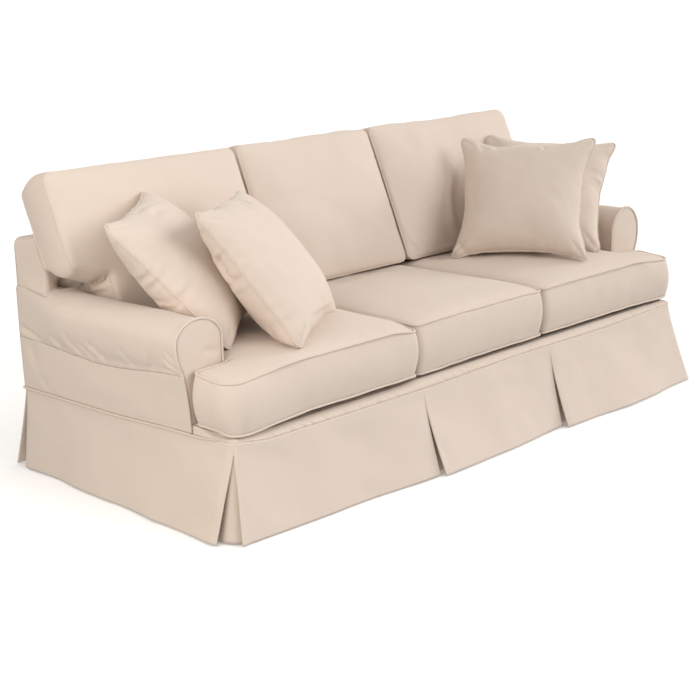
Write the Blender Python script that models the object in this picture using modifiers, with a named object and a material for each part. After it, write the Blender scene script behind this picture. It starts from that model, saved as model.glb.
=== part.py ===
"""Slipcover set for a three-seat sofa with rolled arms: the body cover with its skirt, six boxed
cushions and four square pillows, all in one cloth. The sofa's own frame is left out, so the body
cover is hollow. Metres, +Z up, front towards -Y. The origin is on the floor, in the middle."""

import math
from collections import namedtuple

import bmesh
import bpy
from mathutils import Matrix, Vector

# ---- driving dimensions -------------------------------------------------------------------------

CLOTH = 0.002  # thickness of every sheet
GAP = 0.0003  # clearance between two pieces sewn edge to edge
WELT = 0.0035  # radius of the covered cord in the seams

BASE_FRONT = -0.461
BASE_BACK = 0.4758
HALF_FRONT = 1.038  # half the width of the body cover at its front
HALF_BACK = 1.031  # and at its back
CORNER = 0.030  # plan radius of the base's front corners
HEM = 0.002  # height of the hem's outer edge
DECK_TOP = 0.285  # cloth under the seat cushions

ARM_AXIS_X = 1.000  # centre of the arm's roll
ARM_AXIS_Z = 0.505
ROLL_HALF = 0.076  # half the roll's width
ROLL_UNDER = 0.115  # height of the curve from the roll's widest line down to its seam
ROLL_START = -45  # degrees: where the roll begins, above the seam under it
ROLL_TAPER = 0.200  # from here to the back the roll draws in to the cover's side
NECK_OUT = 0.004  # how far the seam under the roll stands outside the skirt's seam

BACK_FOOT_Y = 0.200  # front of the sofa's back at the deck
BACK_RISE = 0.4166  # how far that plane runs back for each metre of height
BACK_SIDE = 1.030  # half width of the back above the arms
BACK_TOP_REAR = 0.700
BACK_TOP_FRONT = 0.716
BACK_ROUND = 0.024  # radius of the back's upper corners

SEAM_HALF = 0.307  # where the cushions meet, either side of the middle
CUSHION_SIDE = 0.0065  # from there to a cushion's side, which leaves room for two welts
MEETING = SEAM_HALF + CUSHION_SIDE
MIDDLE_HALF = SEAM_HALF - CUSHION_SIDE
SEAT_BACK = 0.192
SEAT_EDGE_LOW = 0.293
SEAT_EDGE_HIGH = 0.436
SEAT_IN_ARM = 0.911  # half width of the seat between the arms
SEAT_EAR = 1.064  # half width of the seat in front of the arms
EAR_BEHIND = 0.013  # from the arm's front panel to the ear's back edge
EAR_ROUND = 0.055  # plan radius of an ear's front corner
NOTCH_ROUND = 0.022  # and of its back corner
SEAT_REST = 0.0185  # crown left where the back cushions stand on the seat
EAR_DROOP = 0.014

BACK_CUSHION_IN_ARM = 0.911
BACK_CUSHION_EAR = 1.020
BACK_CUSHION_CROWN = 0.040
BACK_EAR_SHARE = 0.40  # share of the cushion's height where its ear begins
BACK_FLOOR = 0.4550  # underside of the back cushions, on the seat
BACK_FRONT_FOOT = (0.130, 0.4625)  # corners of a back cushion's side in (y, z)
BACK_FRONT_TOP = (0.312, 0.899)
BACK_REAR_FOOT = (0.2628, 0.4625)
BACK_REAR_TOP = (0.4228, 0.832)
BACK_FORWARD = (-0.923, 0.384)  # the way a back cushion faces in (y, z)
BACK_LENGTH = 0.48  # of a back cushion, up its front
FOOT = 0.0075  # how far a cushion's lower welts stay above what it rests on

PILLOW_SIDE = 0.455
PILLOW_THICK = 0.172
PILLOW_EDGE = 0.006

# Height of the skirt's seam along the front (by x) and along each side (by y)
FRONT_SEAM = ((-1.038, 0.266), (-0.900, 0.250), (-0.320, 0.248), (0.200, 0.257), (0.600, 0.254),
              (1.038, 0.266))
SIDE_SEAM = ((-0.461, 0.266), (-0.298, 0.258), (0.090, 0.248), (0.476, 0.248))
# Height of the seam under the arm's roll, by y
ROLL_SEAM = ((-0.298, 0.418), (0.080, 0.388), (0.476, 0.406))

# Each arm: which side it is on, the face of its front panel and the top of its roll
Arm = namedtuple("Arm", "name side front top")
ARMS = (Arm("left", -1, -0.298, 0.563), Arm("right", 1, -0.284, 0.584))

# One panel of the skirt: where its ends lie along its side at the seam and at the hem, and how far
# the hem stands out from the base at its start, middle and end
SkirtPanel = namedtuple(
    "SkirtPanel", "name side seam_from seam_to hem_from hem_to out_from out_mid out_to"
)
SKIRT = (
    SkirtPanel("skirt_front_left", "front", -1.0280, -0.2975, -1.054, -0.307, 0.034, 0.052, 0.078),
    SkirtPanel("skirt_front_middle", "front", -0.2965, 0.3165, -0.297, 0.303, 0.097, 0.086, 0.072),
    SkirtPanel("skirt_front_right", "front", 0.3175, 1.0180, 0.306, 1.028, 0.096, 0.104, 0.093),
    SkirtPanel("skirt_side_left", "left", -0.4510, 0.4650, -0.441, 0.474, 0.0510, 0.0420, 0.0280),
    SkirtPanel("skirt_side_right", "right", -0.4510, 0.4650, -0.441, 0.474, 0.0510, 0.0420, 0.0280),
    SkirtPanel("skirt_back", "back", -1.0270, 1.0270, -1.046, 1.046, 0.058, 0.0892, 0.058),
)

# The underlay behind each pleat in the front: its middle, half its width and how far its hem
# stands out
Underlay = namedtuple("Underlay", "name middle half_width out")
UNDERLAYS = (
    Underlay("pleat_front_left", -0.300, 0.105, 0.046),
    Underlay("pleat_front_right", 0.310, 0.105, 0.046),
)

# Each seat cushion: its ends along X, its front edge, the arm's front panel and its crown
Seat = namedtuple("Seat", "name start end front facing crown")
SEATS = (
    Seat("seat_cushion_left", -SEAT_EAR, -MEETING, -0.449, ARMS[0].front, 0.026),
    Seat("seat_cushion_middle", -MIDDLE_HALF, MIDDLE_HALF, -0.438, 0, 0.034),
    Seat("seat_cushion_right", MEETING, SEAT_EAR, -0.434, ARMS[1].front, 0.040),
)

# Each pillow: its centre, and its turn about Z, then about its own X (lean) and Y (roll), degrees
Pillow = namedtuple("Pillow", "name x y z turn lean roll")
PILLOWS = (
    Pillow("pillow_left_rear", -0.789, -0.0160, 0.6328, 34.0, -43.0, -4.6),
    Pillow("pillow_left_front", -0.627, -0.1810, 0.6359, 32.8, -37.6, 0.3),
    Pillow("pillow_right_rear", 0.850, -0.0380, 0.6388, -59.5, -44.5, 4.0),
    Pillow("pillow_right_front", 0.645, -0.1140, 0.6566, -58.5, -35.8, 0.1),
)

CLOTH_COLOUR = (0.80, 0.70, 0.60, 1.0)
CLOTH_ROUGHNESS = 0.85


# ---- small tools --------------------------------------------------------------------------------


def clear_scene():
    for obj in list(bpy.data.objects):
        bpy.data.objects.remove(obj, do_unlink=True)


def material_for(name):
    """The cloth's material, one for each piece."""
    made = bpy.data.materials.new(name)
    made.use_nodes = True
    shader = made.node_tree.nodes["Principled BSDF"]
    shader.inputs["Base Color"].default_value = CLOTH_COLOUR
    shader.inputs["Roughness"].default_value = CLOTH_ROUGHNESS
    shader.inputs["Metallic"].default_value = 0.0
    return made


def add_piece(name, data):
    obj = bpy.data.objects.new(name, data)
    data.materials.append(material_for(name))
    COLLECTION.objects.link(obj)
    return obj


def between(low, high, share):
    return low + (high - low) * share


def smooth(share):
    share = min(max(share, 0.0), 1.0)
    return share * share * (3 - 2 * share)


def along(table, place):
    """Value at a place in a table of (place, value) rows, eased from row to row."""
    for (start, low), (end, high) in zip(table, table[1:]):
        if place <= end:
            return between(low, high, smooth((place - start) / (end - start)))
    return table[-1][1]


def arc(centre, radius, start, end, steps):
    """Points of an arc in a plane, angles in degrees."""
    angles = [math.radians(between(start, end, i / steps)) for i in range(steps + 1)]
    return [(centre[0] + radius * math.cos(a), centre[1] + radius * math.sin(a)) for a in angles]


def mirrored(points):
    """The points of one half, followed by their images across the plane x = 0."""
    return points + [(-x, z) for x, z in reversed(points)]


# ---- sheets, flat panels and cords --------------------------------------------------------------


def sheet(name, columns, rows, place):
    """A sheet of cloth: a grid whose corners go to place(u, v), with the cloth's thickness behind."""
    bm = bmesh.new()
    bmesh.ops.create_grid(bm, x_segments=columns, y_segments=rows, size=0.5)
    for vertex in bm.verts:
        vertex.co = place(vertex.co.x + 0.5, vertex.co.y + 0.5)
    mesh = bpy.data.meshes.new(name)
    bm.to_mesh(mesh)
    bm.free()
    obj = add_piece(name, mesh)
    thickness = obj.modifiers.new("cloth", "SOLIDIFY")
    thickness.thickness = CLOTH
    thickness.offset = -1
    thickness.use_even_offset = True
    return obj


def flat_panel(name, outline, matrix):
    """A flat sheet with this outline, its outer face at the plane z = 0 of the given frame."""
    curve = bpy.data.curves.new(name, "CURVE")
    curve.dimensions = "2D"
    curve.fill_mode = "BOTH"
    curve.extrude = CLOTH / 2
    spline = curve.splines.new("POLY")
    spline.points.add(len(outline) - 1)
    for point, (x, y) in zip(spline.points, outline):
        point.co = (x, y, 0, 1)
    spline.use_cyclic_u = True
    obj = add_piece(name, curve)
    obj.matrix_world = matrix @ Matrix.Translation((0, 0, -CLOTH / 2))
    return obj


def cord(name, points, closed):
    """A covered cord along these points."""
    curve = bpy.data.curves.new(name, "CURVE")
    curve.dimensions = "3D"
    curve.bevel_depth = WELT
    curve.bevel_resolution = 0
    curve.use_fill_caps = not closed
    spline = curve.splines.new("POLY")
    spline.points.add(len(points) - 1)
    for point, place in zip(spline.points, points):
        point.co = (*place, 1)
    spline.use_cyclic_u = closed
    return add_piece(name, curve)


# ---- the arms -----------------------------------------------------------------------------------

ROLL_STEPS = 9
WALL_STEPS = 2


def half_at(y):
    """Half the cover's width at the skirt's seam, without its rounded front corners."""
    return between(HALF_FRONT, HALF_BACK, (y - BASE_FRONT) / (BASE_BACK - BASE_FRONT))


def roll_point(arm, degrees, clear=0.0):
    """A point of the roll's outline in (half width, height), at a clearance outside it."""
    angle = math.radians(degrees)
    height = arm.top - ARM_AXIS_Z if degrees > 0 else ROLL_UNDER
    x = ARM_AXIS_X + (ROLL_HALF + clear) * math.cos(angle)
    return x, ARM_AXIS_Z + (height + clear) * math.sin(angle)


def arm_section(arm, y, clear=0.0):
    """The arm's cloth in (half width, height), from the seam under the roll to the deck inside.
    Towards the back the part that overhangs the cover's side draws in to it."""
    drawn_in = smooth((y - ROLL_TAPER) / (BASE_BACK - ROLL_TAPER))
    neck = half_at(y) + NECK_OUT
    points = []
    for i in range(ROLL_STEPS + 1):
        x, z = roll_point(arm, between(ROLL_START, 180, i / ROLL_STEPS), clear)
        points.append((between(x, min(x, neck + clear), drawn_in), z))
    inner = points[-1][0]
    foot = DECK_TOP - CLOTH
    wall = [(inner, between(ARM_AXIS_Z, foot, (i + 1) / WALL_STEPS)) for i in range(WALL_STEPS)]
    return [(neck, along(ROLL_SEAM, y)), *points, *wall]


def arm_top(arm):
    """The piece over the roll and down the inside of the arm."""
    front = arm.front + CLOTH + GAP
    back = BASE_BACK - CLOTH - GAP
    columns = len(arm_section(arm, 0)) - 1

    def place(u, v):
        y = between(front, back, v if arm.side < 0 else 1 - v)
        index = round(u * columns)
        x, z = arm_section(arm, y)[index]
        return (arm.side * x, y, z if index else z + GAP)

    sheet(f"arm_top_{arm.name}", columns, 8, place)


def outside_arm(arm):
    """The panel between the roll and the skirt, a little fuller in its middle."""
    front = arm.front + CLOTH + GAP
    back = BASE_BACK - CLOTH - GAP
    fullness = 0.005

    def place(u, v):
        y = between(front, back, u if arm.side > 0 else 1 - u)
        low = along(SIDE_SEAM, y) + GAP
        high = along(ROLL_SEAM, y) - GAP
        bulge = fullness * math.sin(math.pi * u) * math.sin(math.pi * v)
        return (arm.side * (half_at(y) + NECK_OUT * v + bulge), y, between(low, high, v))

    sheet(f"outside_arm_{arm.name}", 8, 3, place)


def facing_outline(arm):
    """Outline of the arm's front panel in (half width, height), anticlockwise from its foot."""
    return [(half_at(arm.front), DECK_TOP - CLOTH), *arm_section(arm, arm.front)]


def arm_facing(arm):
    """The keyhole-shaped panel on the arm's front."""
    outline = [(arm.side * x, z) for x, z in facing_outline(arm)]
    stand = Matrix.Rotation(math.radians(90), 4, "X")
    flat_panel(f"arm_facing_{arm.name}", outline, Matrix.Translation((0, arm.front, 0)) @ stand)


def facing_welt(arm):
    """The cord round the front panel, from the skirt's seam over the roll to the deck inside."""
    outline = facing_outline(arm)
    outline[0] = (half_at(arm.front), along(SIDE_SEAM, arm.front) + 2 * WELT)
    outline[-1] = (outline[-1][0], DECK_TOP + GAP)
    reach = WELT + 2 * GAP
    runs = [(Vector(b) - Vector(a)).normalized() for a, b in zip(outline, outline[1:])]
    points = []
    for (x, z), before, after in zip(outline, runs[:1] + runs, runs + runs[-1:]):
        mitre = (before + after) * reach / (1 + before.dot(after))
        points.append((arm.side * (x + mitre.y), arm.front, z - mitre.x))
    cord(f"facing_welt_{arm.name}", points, closed=False)


# ---- the back, the deck and the front rail ------------------------------------------------------


def back_plane_y(height):
    return BACK_FOOT_Y + BACK_RISE * (height - DECK_TOP)


def back_corner(top):
    """The back's side and upper corner in (half width, height), upwards, right-hand side."""
    centre = (BACK_SIDE - BACK_ROUND, top - BACK_ROUND)
    return arc(centre, BACK_ROUND, 0, 90, 3)


def outside_back():
    """The flat panel over the back, with the arms' ends in its outline."""
    outline = []
    for arm in ARMS:
        section = [point for point in arm_section(arm, BASE_BACK) if point[0] >= BACK_SIDE]
        foot = (half_at(BASE_BACK), along(SIDE_SEAM, BASE_BACK) + GAP)
        half = [foot, *section, *back_corner(BACK_TOP_REAR)]
        outline += [(-x, z) for x, z in reversed(half)] if arm.side < 0 else half
    stand = Matrix.Rotation(math.radians(90), 4, "X") @ Matrix.Rotation(math.pi, 4, "Y")
    seen = [(-x, z) for x, z in outline]
    flat_panel("outside_back", seen, Matrix.Translation((0, BASE_BACK, 0)) @ stand)


def shoulder(arm, clear):
    """Height at which the side of the back meets the arm's roll."""
    angle = math.acos((BACK_SIDE - ARM_AXIS_X) / ROLL_HALF)
    return roll_point(arm, math.degrees(angle), clear)[1]


def back_boxing():
    """The strip up one side of the back, over its top and down the other side."""
    rear = BASE_BACK - CLOTH - GAP
    over = [*back_corner(BACK_TOP_REAR), (BACK_SIDE / 2, BACK_TOP_REAR)]
    left, right = ([(BACK_SIDE, shoulder(arm, 3 * GAP)), *over] for arm in ARMS)
    path = [(-x, z) for x, z in left] + [(0, BACK_TOP_REAR), *reversed(right)]
    columns = len(path) - 1

    def place(u, v):
        x, z = path[round(u * columns)]
        start = shoulder(ARMS[x > 0], 3 * GAP)
        rise = smooth((z - start) / (BACK_TOP_REAR - start))
        front_z = z + rise * (BACK_TOP_FRONT - BACK_TOP_REAR)
        front = back_plane_y(front_z) + (CLOTH + 2 * GAP) / math.cos(math.atan(BACK_RISE))
        return (x, between(front, rear, v), between(front_z, z, v))

    sheet("back_boxing", columns, 1, place)


def inside_back():
    """The sloping panel behind the back cushions, wider above the arms."""
    slope = math.atan(BACK_RISE)
    outline = []
    for arm in ARMS:
        inner = roll_point(arm, 180, 2 * GAP)[0]
        turns = [between(ROLL_START, 180, i / ROLL_STEPS) for i in range(ROLL_STEPS, 0, -1)]
        over = [roll_point(arm, degrees, 4 * GAP) for degrees in turns]
        over = [(x, z) for x, z in over if x < BACK_SIDE and z > ARM_AXIS_Z - GAP]
        corner = back_corner(BACK_TOP_FRONT)
        half = [(inner, DECK_TOP + GAP), *over, (BACK_SIDE, shoulder(arm, 2 * GAP)), *corner]
        half = [(x, (z - DECK_TOP) / math.cos(slope)) for x, z in half]
        outline += half if arm.side > 0 else [(-x, z) for x, z in reversed(half)]
    foot = Matrix.Translation((0, BACK_FOOT_Y, DECK_TOP))
    flat_panel("inside_back", outline, foot @ Matrix.Rotation(math.pi / 2 - slope, 4, "X"))


def deck():
    """The level panel under the seat cushions, T-shaped round the arms."""
    inner = ARM_AXIS_X - ROLL_HALF - GAP
    front = base_path(CLOTH + 2 * GAP, [])
    left, right = (arm.front - GAP for arm in ARMS)
    rear = [(inner, right), (inner, BACK_FOOT_Y - GAP), (-inner, BACK_FOOT_Y - GAP), (-inner, left)]
    flat_panel("deck", front + rear, Matrix.Translation((0, 0, DECK_TOP)))


def base_path(inset, front_lines):
    """Plan points round the front of the base, from one facing to the other, a given way inside."""
    front = BASE_FRONT + inset
    ends = []
    for arm in ARMS:
        centre = (HALF_FRONT - CORNER, BASE_FRONT + CORNER)
        turn = arc(centre, CORNER - inset, -90, 0, 3)
        ends.append([*turn, (half_at(arm.front) - inset, arm.front - GAP)])
    run = [(x, front) for x in front_lines if abs(x) < HALF_FRONT - CORNER - GAP]
    return [(-x, y) for x, y in reversed(ends[0])] + run + ends[1]


def seam_height(x, y):
    """Height of the skirt's seam at a place on the base."""
    if y <= BASE_FRONT + CORNER:
        return along(FRONT_SEAM, x)
    return along(SIDE_SEAM, y)


def front_rail():
    """The strip between the deck and the skirt, drawn up in small puckers along the front."""
    lines = [x for panel in SKIRT if panel.side == "front" for x in seam_lines(panel)]
    lines = [x for x, after in zip(lines, lines[1:] + [HALF_FRONT]) if after - x > CLOTH]
    path = base_path(0, lines)
    columns = len(path) - 1
    pucker = 0.0016

    def place(u, v):
        index = round(u * columns)
        x, y = path[index]
        ripple = pucker * (-1) ** index * math.sin(math.pi * v) if y == BASE_FRONT else 0
        return (x, y - ripple, between(seam_height(x, y) + GAP, DECK_TOP, v))

    sheet("front_rail", columns, 2, place)


# ---- the skirt ----------------------------------------------------------------------------------


def corner_inset(past):
    """How far a rounded corner's outline lies inside its side, this far past its start."""
    past = min(max(past, 0), CORNER)
    return CORNER - math.sqrt(CORNER**2 - past**2)


def on_side(side, run, seam, out):
    """Plan place of a point on one side of the base, at a distance out from it. Its inset for the
    rounded corner follows its place at the seam."""
    if side == "front":
        return (run, BASE_FRONT - out + corner_inset(abs(seam) - HALF_FRONT + CORNER))
    if side == "back":
        return (run, BASE_BACK + out)
    inset = corner_inset(BASE_FRONT + CORNER - seam)
    return ((half_at(seam) + out - inset) * (1 if side == "right" else -1), run)


def seam_lines(panel):
    """Places of a panel's corners along the seam, closer together round a corner of the base."""
    limit = {"front": HALF_FRONT - CORNER, "back": BACK_SIDE}.get(panel.side, BASE_BACK)
    low = BASE_FRONT + CORNER if panel.side in ("left", "right") else -limit
    low, high = max(panel.seam_from, low), min(panel.seam_to, limit)
    columns = round((high - low) / 0.13)
    lines = {between(low, high, i / columns) for i in range(columns + 1)}
    lines |= {between(panel.seam_from, low, share) for share in (0, 0.5)}
    lines |= {between(panel.seam_to, high, share) for share in (0, 0.5)}
    return sorted(lines)


def skirt_panel(panel):
    """A hanging panel: it leaves the seam upright and flares to its hem, with soft waves, and its
    ends turn in towards the pleats."""
    wave = 0.004
    turn_in = 0.007
    end_width = 0.08

    lines = seam_lines(panel)
    lines = lines if panel.side in ("front", "right") else lines[::-1]
    columns = len(lines) - 1

    def place(u, v):
        drop = 1 - v
        at_seam = lines[round(u * columns)]
        u = (at_seam - panel.seam_from) / (panel.seam_to - panel.seam_from)
        run = between(at_seam, between(panel.hem_from, panel.hem_to, u), drop)
        flare = along(((0, panel.out_from), (0.5, panel.out_mid), (1, panel.out_to)), u)
        to_end = min(u, 1 - u) * (panel.seam_to - panel.seam_from)
        ends = turn_in * (1 - smooth(to_end / end_width)) * drop
        out = flare * drop**1.25 + wave * math.sin(5 * math.pi * u) * drop * v - ends
        x, y = on_side(panel.side, run, at_seam, out)
        top = seam_height(*on_side(panel.side, at_seam, at_seam, 0)) - GAP
        return (x, y, between(HEM, top, v))

    sheet(panel.name, columns, 4, place)


def pleat_underlay(underlay):
    """The flat piece behind a pleat in the front."""
    behind = CLOTH + 2 * GAP

    def place(u, v):
        x = underlay.middle + underlay.half_width * (2 * u - 1)
        out = (underlay.out + behind) * (1 - v) ** 1.25 - behind
        return (x, BASE_FRONT - out, between(HEM, along(FRONT_SEAM, x) - GAP, v))

    sheet(underlay.name, 4, 3, place)


def corner_underlay(name, x_side, y_side):
    """The piece behind the pleat at a corner of the base, bent round it."""
    behind = CLOTH + (3 * GAP if y_side < 0 else GAP)
    reach = 0.13
    half = (HALF_FRONT if y_side < 0 else HALF_BACK) - behind
    end = BASE_FRONT + behind if y_side < 0 else BASE_BACK - behind
    radius = CORNER - behind if y_side < 0 else 0.012
    centre = (half - radius, end - y_side * radius)
    turn = [
        (x, centre[1] + y_side * (y - centre[1])) for x, y in arc(centre, radius, 90, 0, 3)
    ]
    far = end - y_side * reach
    path = [(half - reach, end), *turn, (half_at(far) - behind, far)]
    path = path if x_side * y_side > 0 else path[::-1]
    columns = len(path) - 1

    def place(u, v):
        x, y = path[round(u * columns)]
        x *= x_side
        top = along(SIDE_SEAM, y) if y_side > 0 else seam_height(x, min(y, BASE_FRONT + CORNER))
        return (x, y, between(HEM, top - GAP, 1 - v))

    sheet(name, columns, 2, place)


def skirt_welt():
    """The cord over the skirt's seam, along both sides and the back."""
    out = WELT + GAP
    start = BASE_FRONT + CORNER
    side = [between(start, BASE_BACK, i / 8) for i in range(8)]
    side = [(half_at(y) + out, y) for y in side]
    half = [*side, *arc((HALF_BACK, BASE_BACK), out, 0, 90, 2)]
    points = [(x, y, along(SIDE_SEAM, y)) for x, y in mirrored(half)]
    cord("skirt_welt", points, closed=False)


# ---- cushions and pillows -----------------------------------------------------------------------


def plan_mesh(x_lines, y_lines, is_cut_out):
    """Flat cells between the lines, without those whose centre is cut out of the outline."""
    columns, rows = len(x_lines) - 1, len(y_lines) - 1
    bm = bmesh.new()
    bmesh.ops.create_grid(bm, x_segments=columns, y_segments=rows, size=0.5)
    for vertex in bm.verts:
        vertex.co.x = x_lines[round((vertex.co.x + 0.5) * columns)]
        vertex.co.y = y_lines[round((vertex.co.y + 0.5) * rows)]
    dropped = [face for face in bm.faces if is_cut_out(*face.calc_center_median().xy)]
    bmesh.ops.delete(bm, geom=dropped, context="FACES")
    return bm


def rim_of(bm):
    """Plan places of the outline's points, in order round it."""
    edge = next(edge for edge in bm.edges if edge.is_boundary)
    start = edge.verts[0]
    here = edge.other_vert(start)
    rim = [tuple(start.co.xy)]
    while here != start:
        rim.append(tuple(here.co.xy))
        edge = next(e for e in here.link_edges if e.is_boundary and e != edge)
        here = edge.other_vert(here)
    return rim


def distance_inside(place, rim):
    """How far a plan place lies from the outline."""
    here = Vector(place)
    nearest = math.inf
    for start, end in zip(rim, rim[1:] + rim[:1]):
        start, side = Vector(start), Vector(end) - Vector(start)
        share = min(max((here - start).dot(side) / side.length_squared, 0), 1)
        nearest = min(nearest, (here - start - side * share).length)
    return nearest


def crown_at(place, rim, width):
    """0 at the outline, rising to 1 at the given width inside it."""
    share = min(distance_inside(place, rim) / width, 1)
    return 1 - (1 - share) ** 2


def filled_piece(name, plan, shape, middle_row):
    """One closed solid over a plan mesh, whose corners go to shape(x, y, level): level 0 is one
    face and 1 the other, with a row of corners round the sides at 0.5 if asked for. It returns
    each corner's place and outward direction."""
    levels = (0.5, 1.0) if middle_row else (1.0,)
    faces = plan.faces[:]
    for i, level in enumerate(levels):
        edges = list({edge for face in faces for edge in face.edges})
        made = bmesh.ops.extrude_face_region(plan, geom=faces + edges, use_keep_orig=i == 0)["geom"]
        for part in made:
            if isinstance(part, bmesh.types.BMVert):
                part.co.z = level
        faces = [part for part in made if isinstance(part, bmesh.types.BMFace)]
    corners = {(*vertex.co.xy, vertex.co.z): vertex for vertex in plan.verts}
    for (x, y, level), vertex in corners.items():
        vertex.co = shape(x, y, level)
    bmesh.ops.recalc_face_normals(plan, faces=plan.faces)
    if plan.calc_volume(signed=True) < 0:
        bmesh.ops.reverse_faces(plan, faces=plan.faces)
    plan.normal_update()
    found = {key: (vertex.co.copy(), vertex.normal.copy()) for key, vertex in corners.items()}
    mesh = bpy.data.meshes.new(name)
    plan.to_mesh(mesh)
    plan.free()
    add_piece(name, mesh)
    return found


def rim_welt(name, rim, corners, levels):
    """The cord along a piece's outline at these levels, just clear of its edge."""
    points = []
    for x, y in rim:
        places = [corners[(x, y, level)] for level in levels]
        middle = sum((place for place, _ in places), Vector()) / len(places)
        outward = sum((normal for _, normal in places), Vector()).normalized()
        points.append(middle + outward * (WELT + GAP))
    cord(name, points, closed=True)


def round_off(x, y, corner, inward, radius):
    """Moves the places near a corner of a plan onto the arc that rounds it."""
    past_x = radius - (x - corner[0]) * inward[0]
    past_y = radius - (y - corner[1]) * inward[1]
    if min(past_x, past_y) < 1e-6:
        return x, y
    reach = math.hypot(past_x, past_y)
    scale = max(past_x, past_y) / reach if reach else 1
    centre = (corner[0] + inward[0] * radius, corner[1] + inward[1] * radius)
    return centre[0] - inward[0] * past_x * scale, centre[1] - inward[1] * past_y * scale


def seat_cushion(seat):
    """A boxed seat cushion. An outer one has an ear in front of its arm."""
    crown_width = 0.26
    droop_width = 0.25
    side_crown = 0.004
    lowest_at = 0.5  # share of the underside's own crown at which it is down on the deck
    leaned_on = (0.02, 0.06)  # where along Y the back cushions' weight starts, and over what length
    ear = next((x for x in (seat.start, seat.end) if abs(x) > SEAT_IN_ARM), None)
    side = 0 if ear is None else math.copysign(1, ear)
    notch = seat.facing - EAR_BEHIND if ear else ARMS[0].front - EAR_BEHIND
    y_lines = [seat.front, seat.front + EAR_ROUND, notch - NOTCH_ROUND, notch]
    y_lines += [between(notch, SEAT_BACK, (i + 1) / 5) for i in range(5)]
    if ear:
        inner = seat.start if ear == seat.end else seat.end
        main = sorted([inner, side * SEAT_IN_ARM])
        x_lines = [between(*main, i / 5) for i in range(6)]
        x_lines = sorted([*x_lines, ear - side * EAR_ROUND, ear - side * NOTCH_ROUND, ear])
    else:
        x_lines = [between(seat.start, seat.end, i / 6) for i in range(7)]

    def is_cut_out(x, y):
        return abs(x) > SEAT_IN_ARM and y > notch

    plan = plan_mesh(x_lines, y_lines, is_cut_out)
    rim = rim_of(plan)
    middle = Vector(((seat.start + seat.end) / 2, (seat.front + SEAT_BACK) / 2))

    def shape(x, y, level):
        px, py = x, y
        if ear:
            px, py = round_off(px, py, (ear, seat.front), (-side, 1), EAR_ROUND)
            px, py = round_off(px, py, (ear, notch), (-side, -1), NOTCH_ROUND)
        crown = crown_at((x, y), rim, crown_width)
        to_corner = math.dist((x, y), (ear, seat.front)) if ear else math.inf
        droop = EAR_DROOP * (1 - smooth(to_corner / droop_width))
        if level == 1:
            rest = smooth((y - leaned_on[0]) / leaned_on[1])
            crown = between(seat.crown * crown, min(seat.crown * crown, SEAT_REST), rest)
            return (px, py, SEAT_EDGE_HIGH + crown - droop)
        if level == 0:
            return (px, py, SEAT_EDGE_LOW - min(crown / lowest_at, 1) * (FOOT - GAP))
        bulge = (Vector((px, py)) - middle).normalized() * side_crown
        return (px + bulge.x, py + bulge.y, (SEAT_EDGE_LOW + SEAT_EDGE_HIGH - droop) / 2)

    corners = filled_piece(seat.name, plan, shape, middle_row=True)
    rim_welt(seat.name + "_welt_top", rim, corners, [1.0])
    rim_welt(seat.name + "_welt_bottom", rim, corners, [0])


def back_cushion(name, start, end):
    """A boxed back cushion that stands on the seat and leans on the back. An outer one is wider
    above the arm."""
    ear = next((x for x in (start, end) if abs(x) > BACK_CUSHION_IN_ARM), None)
    side = 0 if ear is None else math.copysign(1, ear)
    h_lines = [0, BACK_EAR_SHARE / 2, BACK_EAR_SHARE, 0.60, 0.80, 0.92, 1]
    inner = [x for x in (start, end) if x != ear]
    if ear:
        main = sorted([inner[0], side * BACK_CUSHION_IN_ARM])
        x_lines = sorted([*(between(*main, i / 5) for i in range(6)), ear - side * 0.04, ear])
    else:
        x_lines = [between(start, end, i / 6) for i in range(7)]

    def is_cut_out(x, h):
        return abs(x) > BACK_CUSHION_IN_ARM and h < BACK_EAR_SHARE

    plan = plan_mesh(x_lines, h_lines, is_cut_out)
    rim = rim_of(plan)
    real_rim = [(x, h * BACK_LENGTH) for x, h in rim]
    front_low, rear_low = Vector(BACK_FRONT_FOOT), Vector(BACK_REAR_FOOT)
    front_rise, rear_rise = Vector(BACK_FRONT_TOP) - front_low, Vector(BACK_REAR_TOP) - rear_low
    rounding = 0.012  # of the upper corners, and the crown of the strip over the top
    side_crown = 0.002
    crown_width = 0.22
    middle = (start + end) / 2

    def shape(x, h, level):
        place = (front_low + front_rise * h).lerp(rear_low + rear_rise * h, level)
        outward = math.copysign(1, x - middle)
        if h == 1 and x in (start, end):
            x -= outward * rounding
            place -= front_rise.normalized() * rounding
        elif level == 0:
            crown = crown_at((x, h * BACK_LENGTH), real_rim, crown_width)
            place += Vector(BACK_FORWARD) * BACK_CUSHION_CROWN * crown
        if level == 0.5:
            if 0 < h < 1:
                x += outward * side_crown
            elif h == 1:
                place += front_rise.normalized() * rounding
            else:
                place.y = BACK_FLOOR
        return (x, place.x, place.y)

    corners = filled_piece(name, plan, shape, middle_row=True)
    rim_welt(name + "_welt_front", rim, corners, [0])
    rim_welt(name + "_welt_rear", rim, corners, [1.0])


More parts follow.
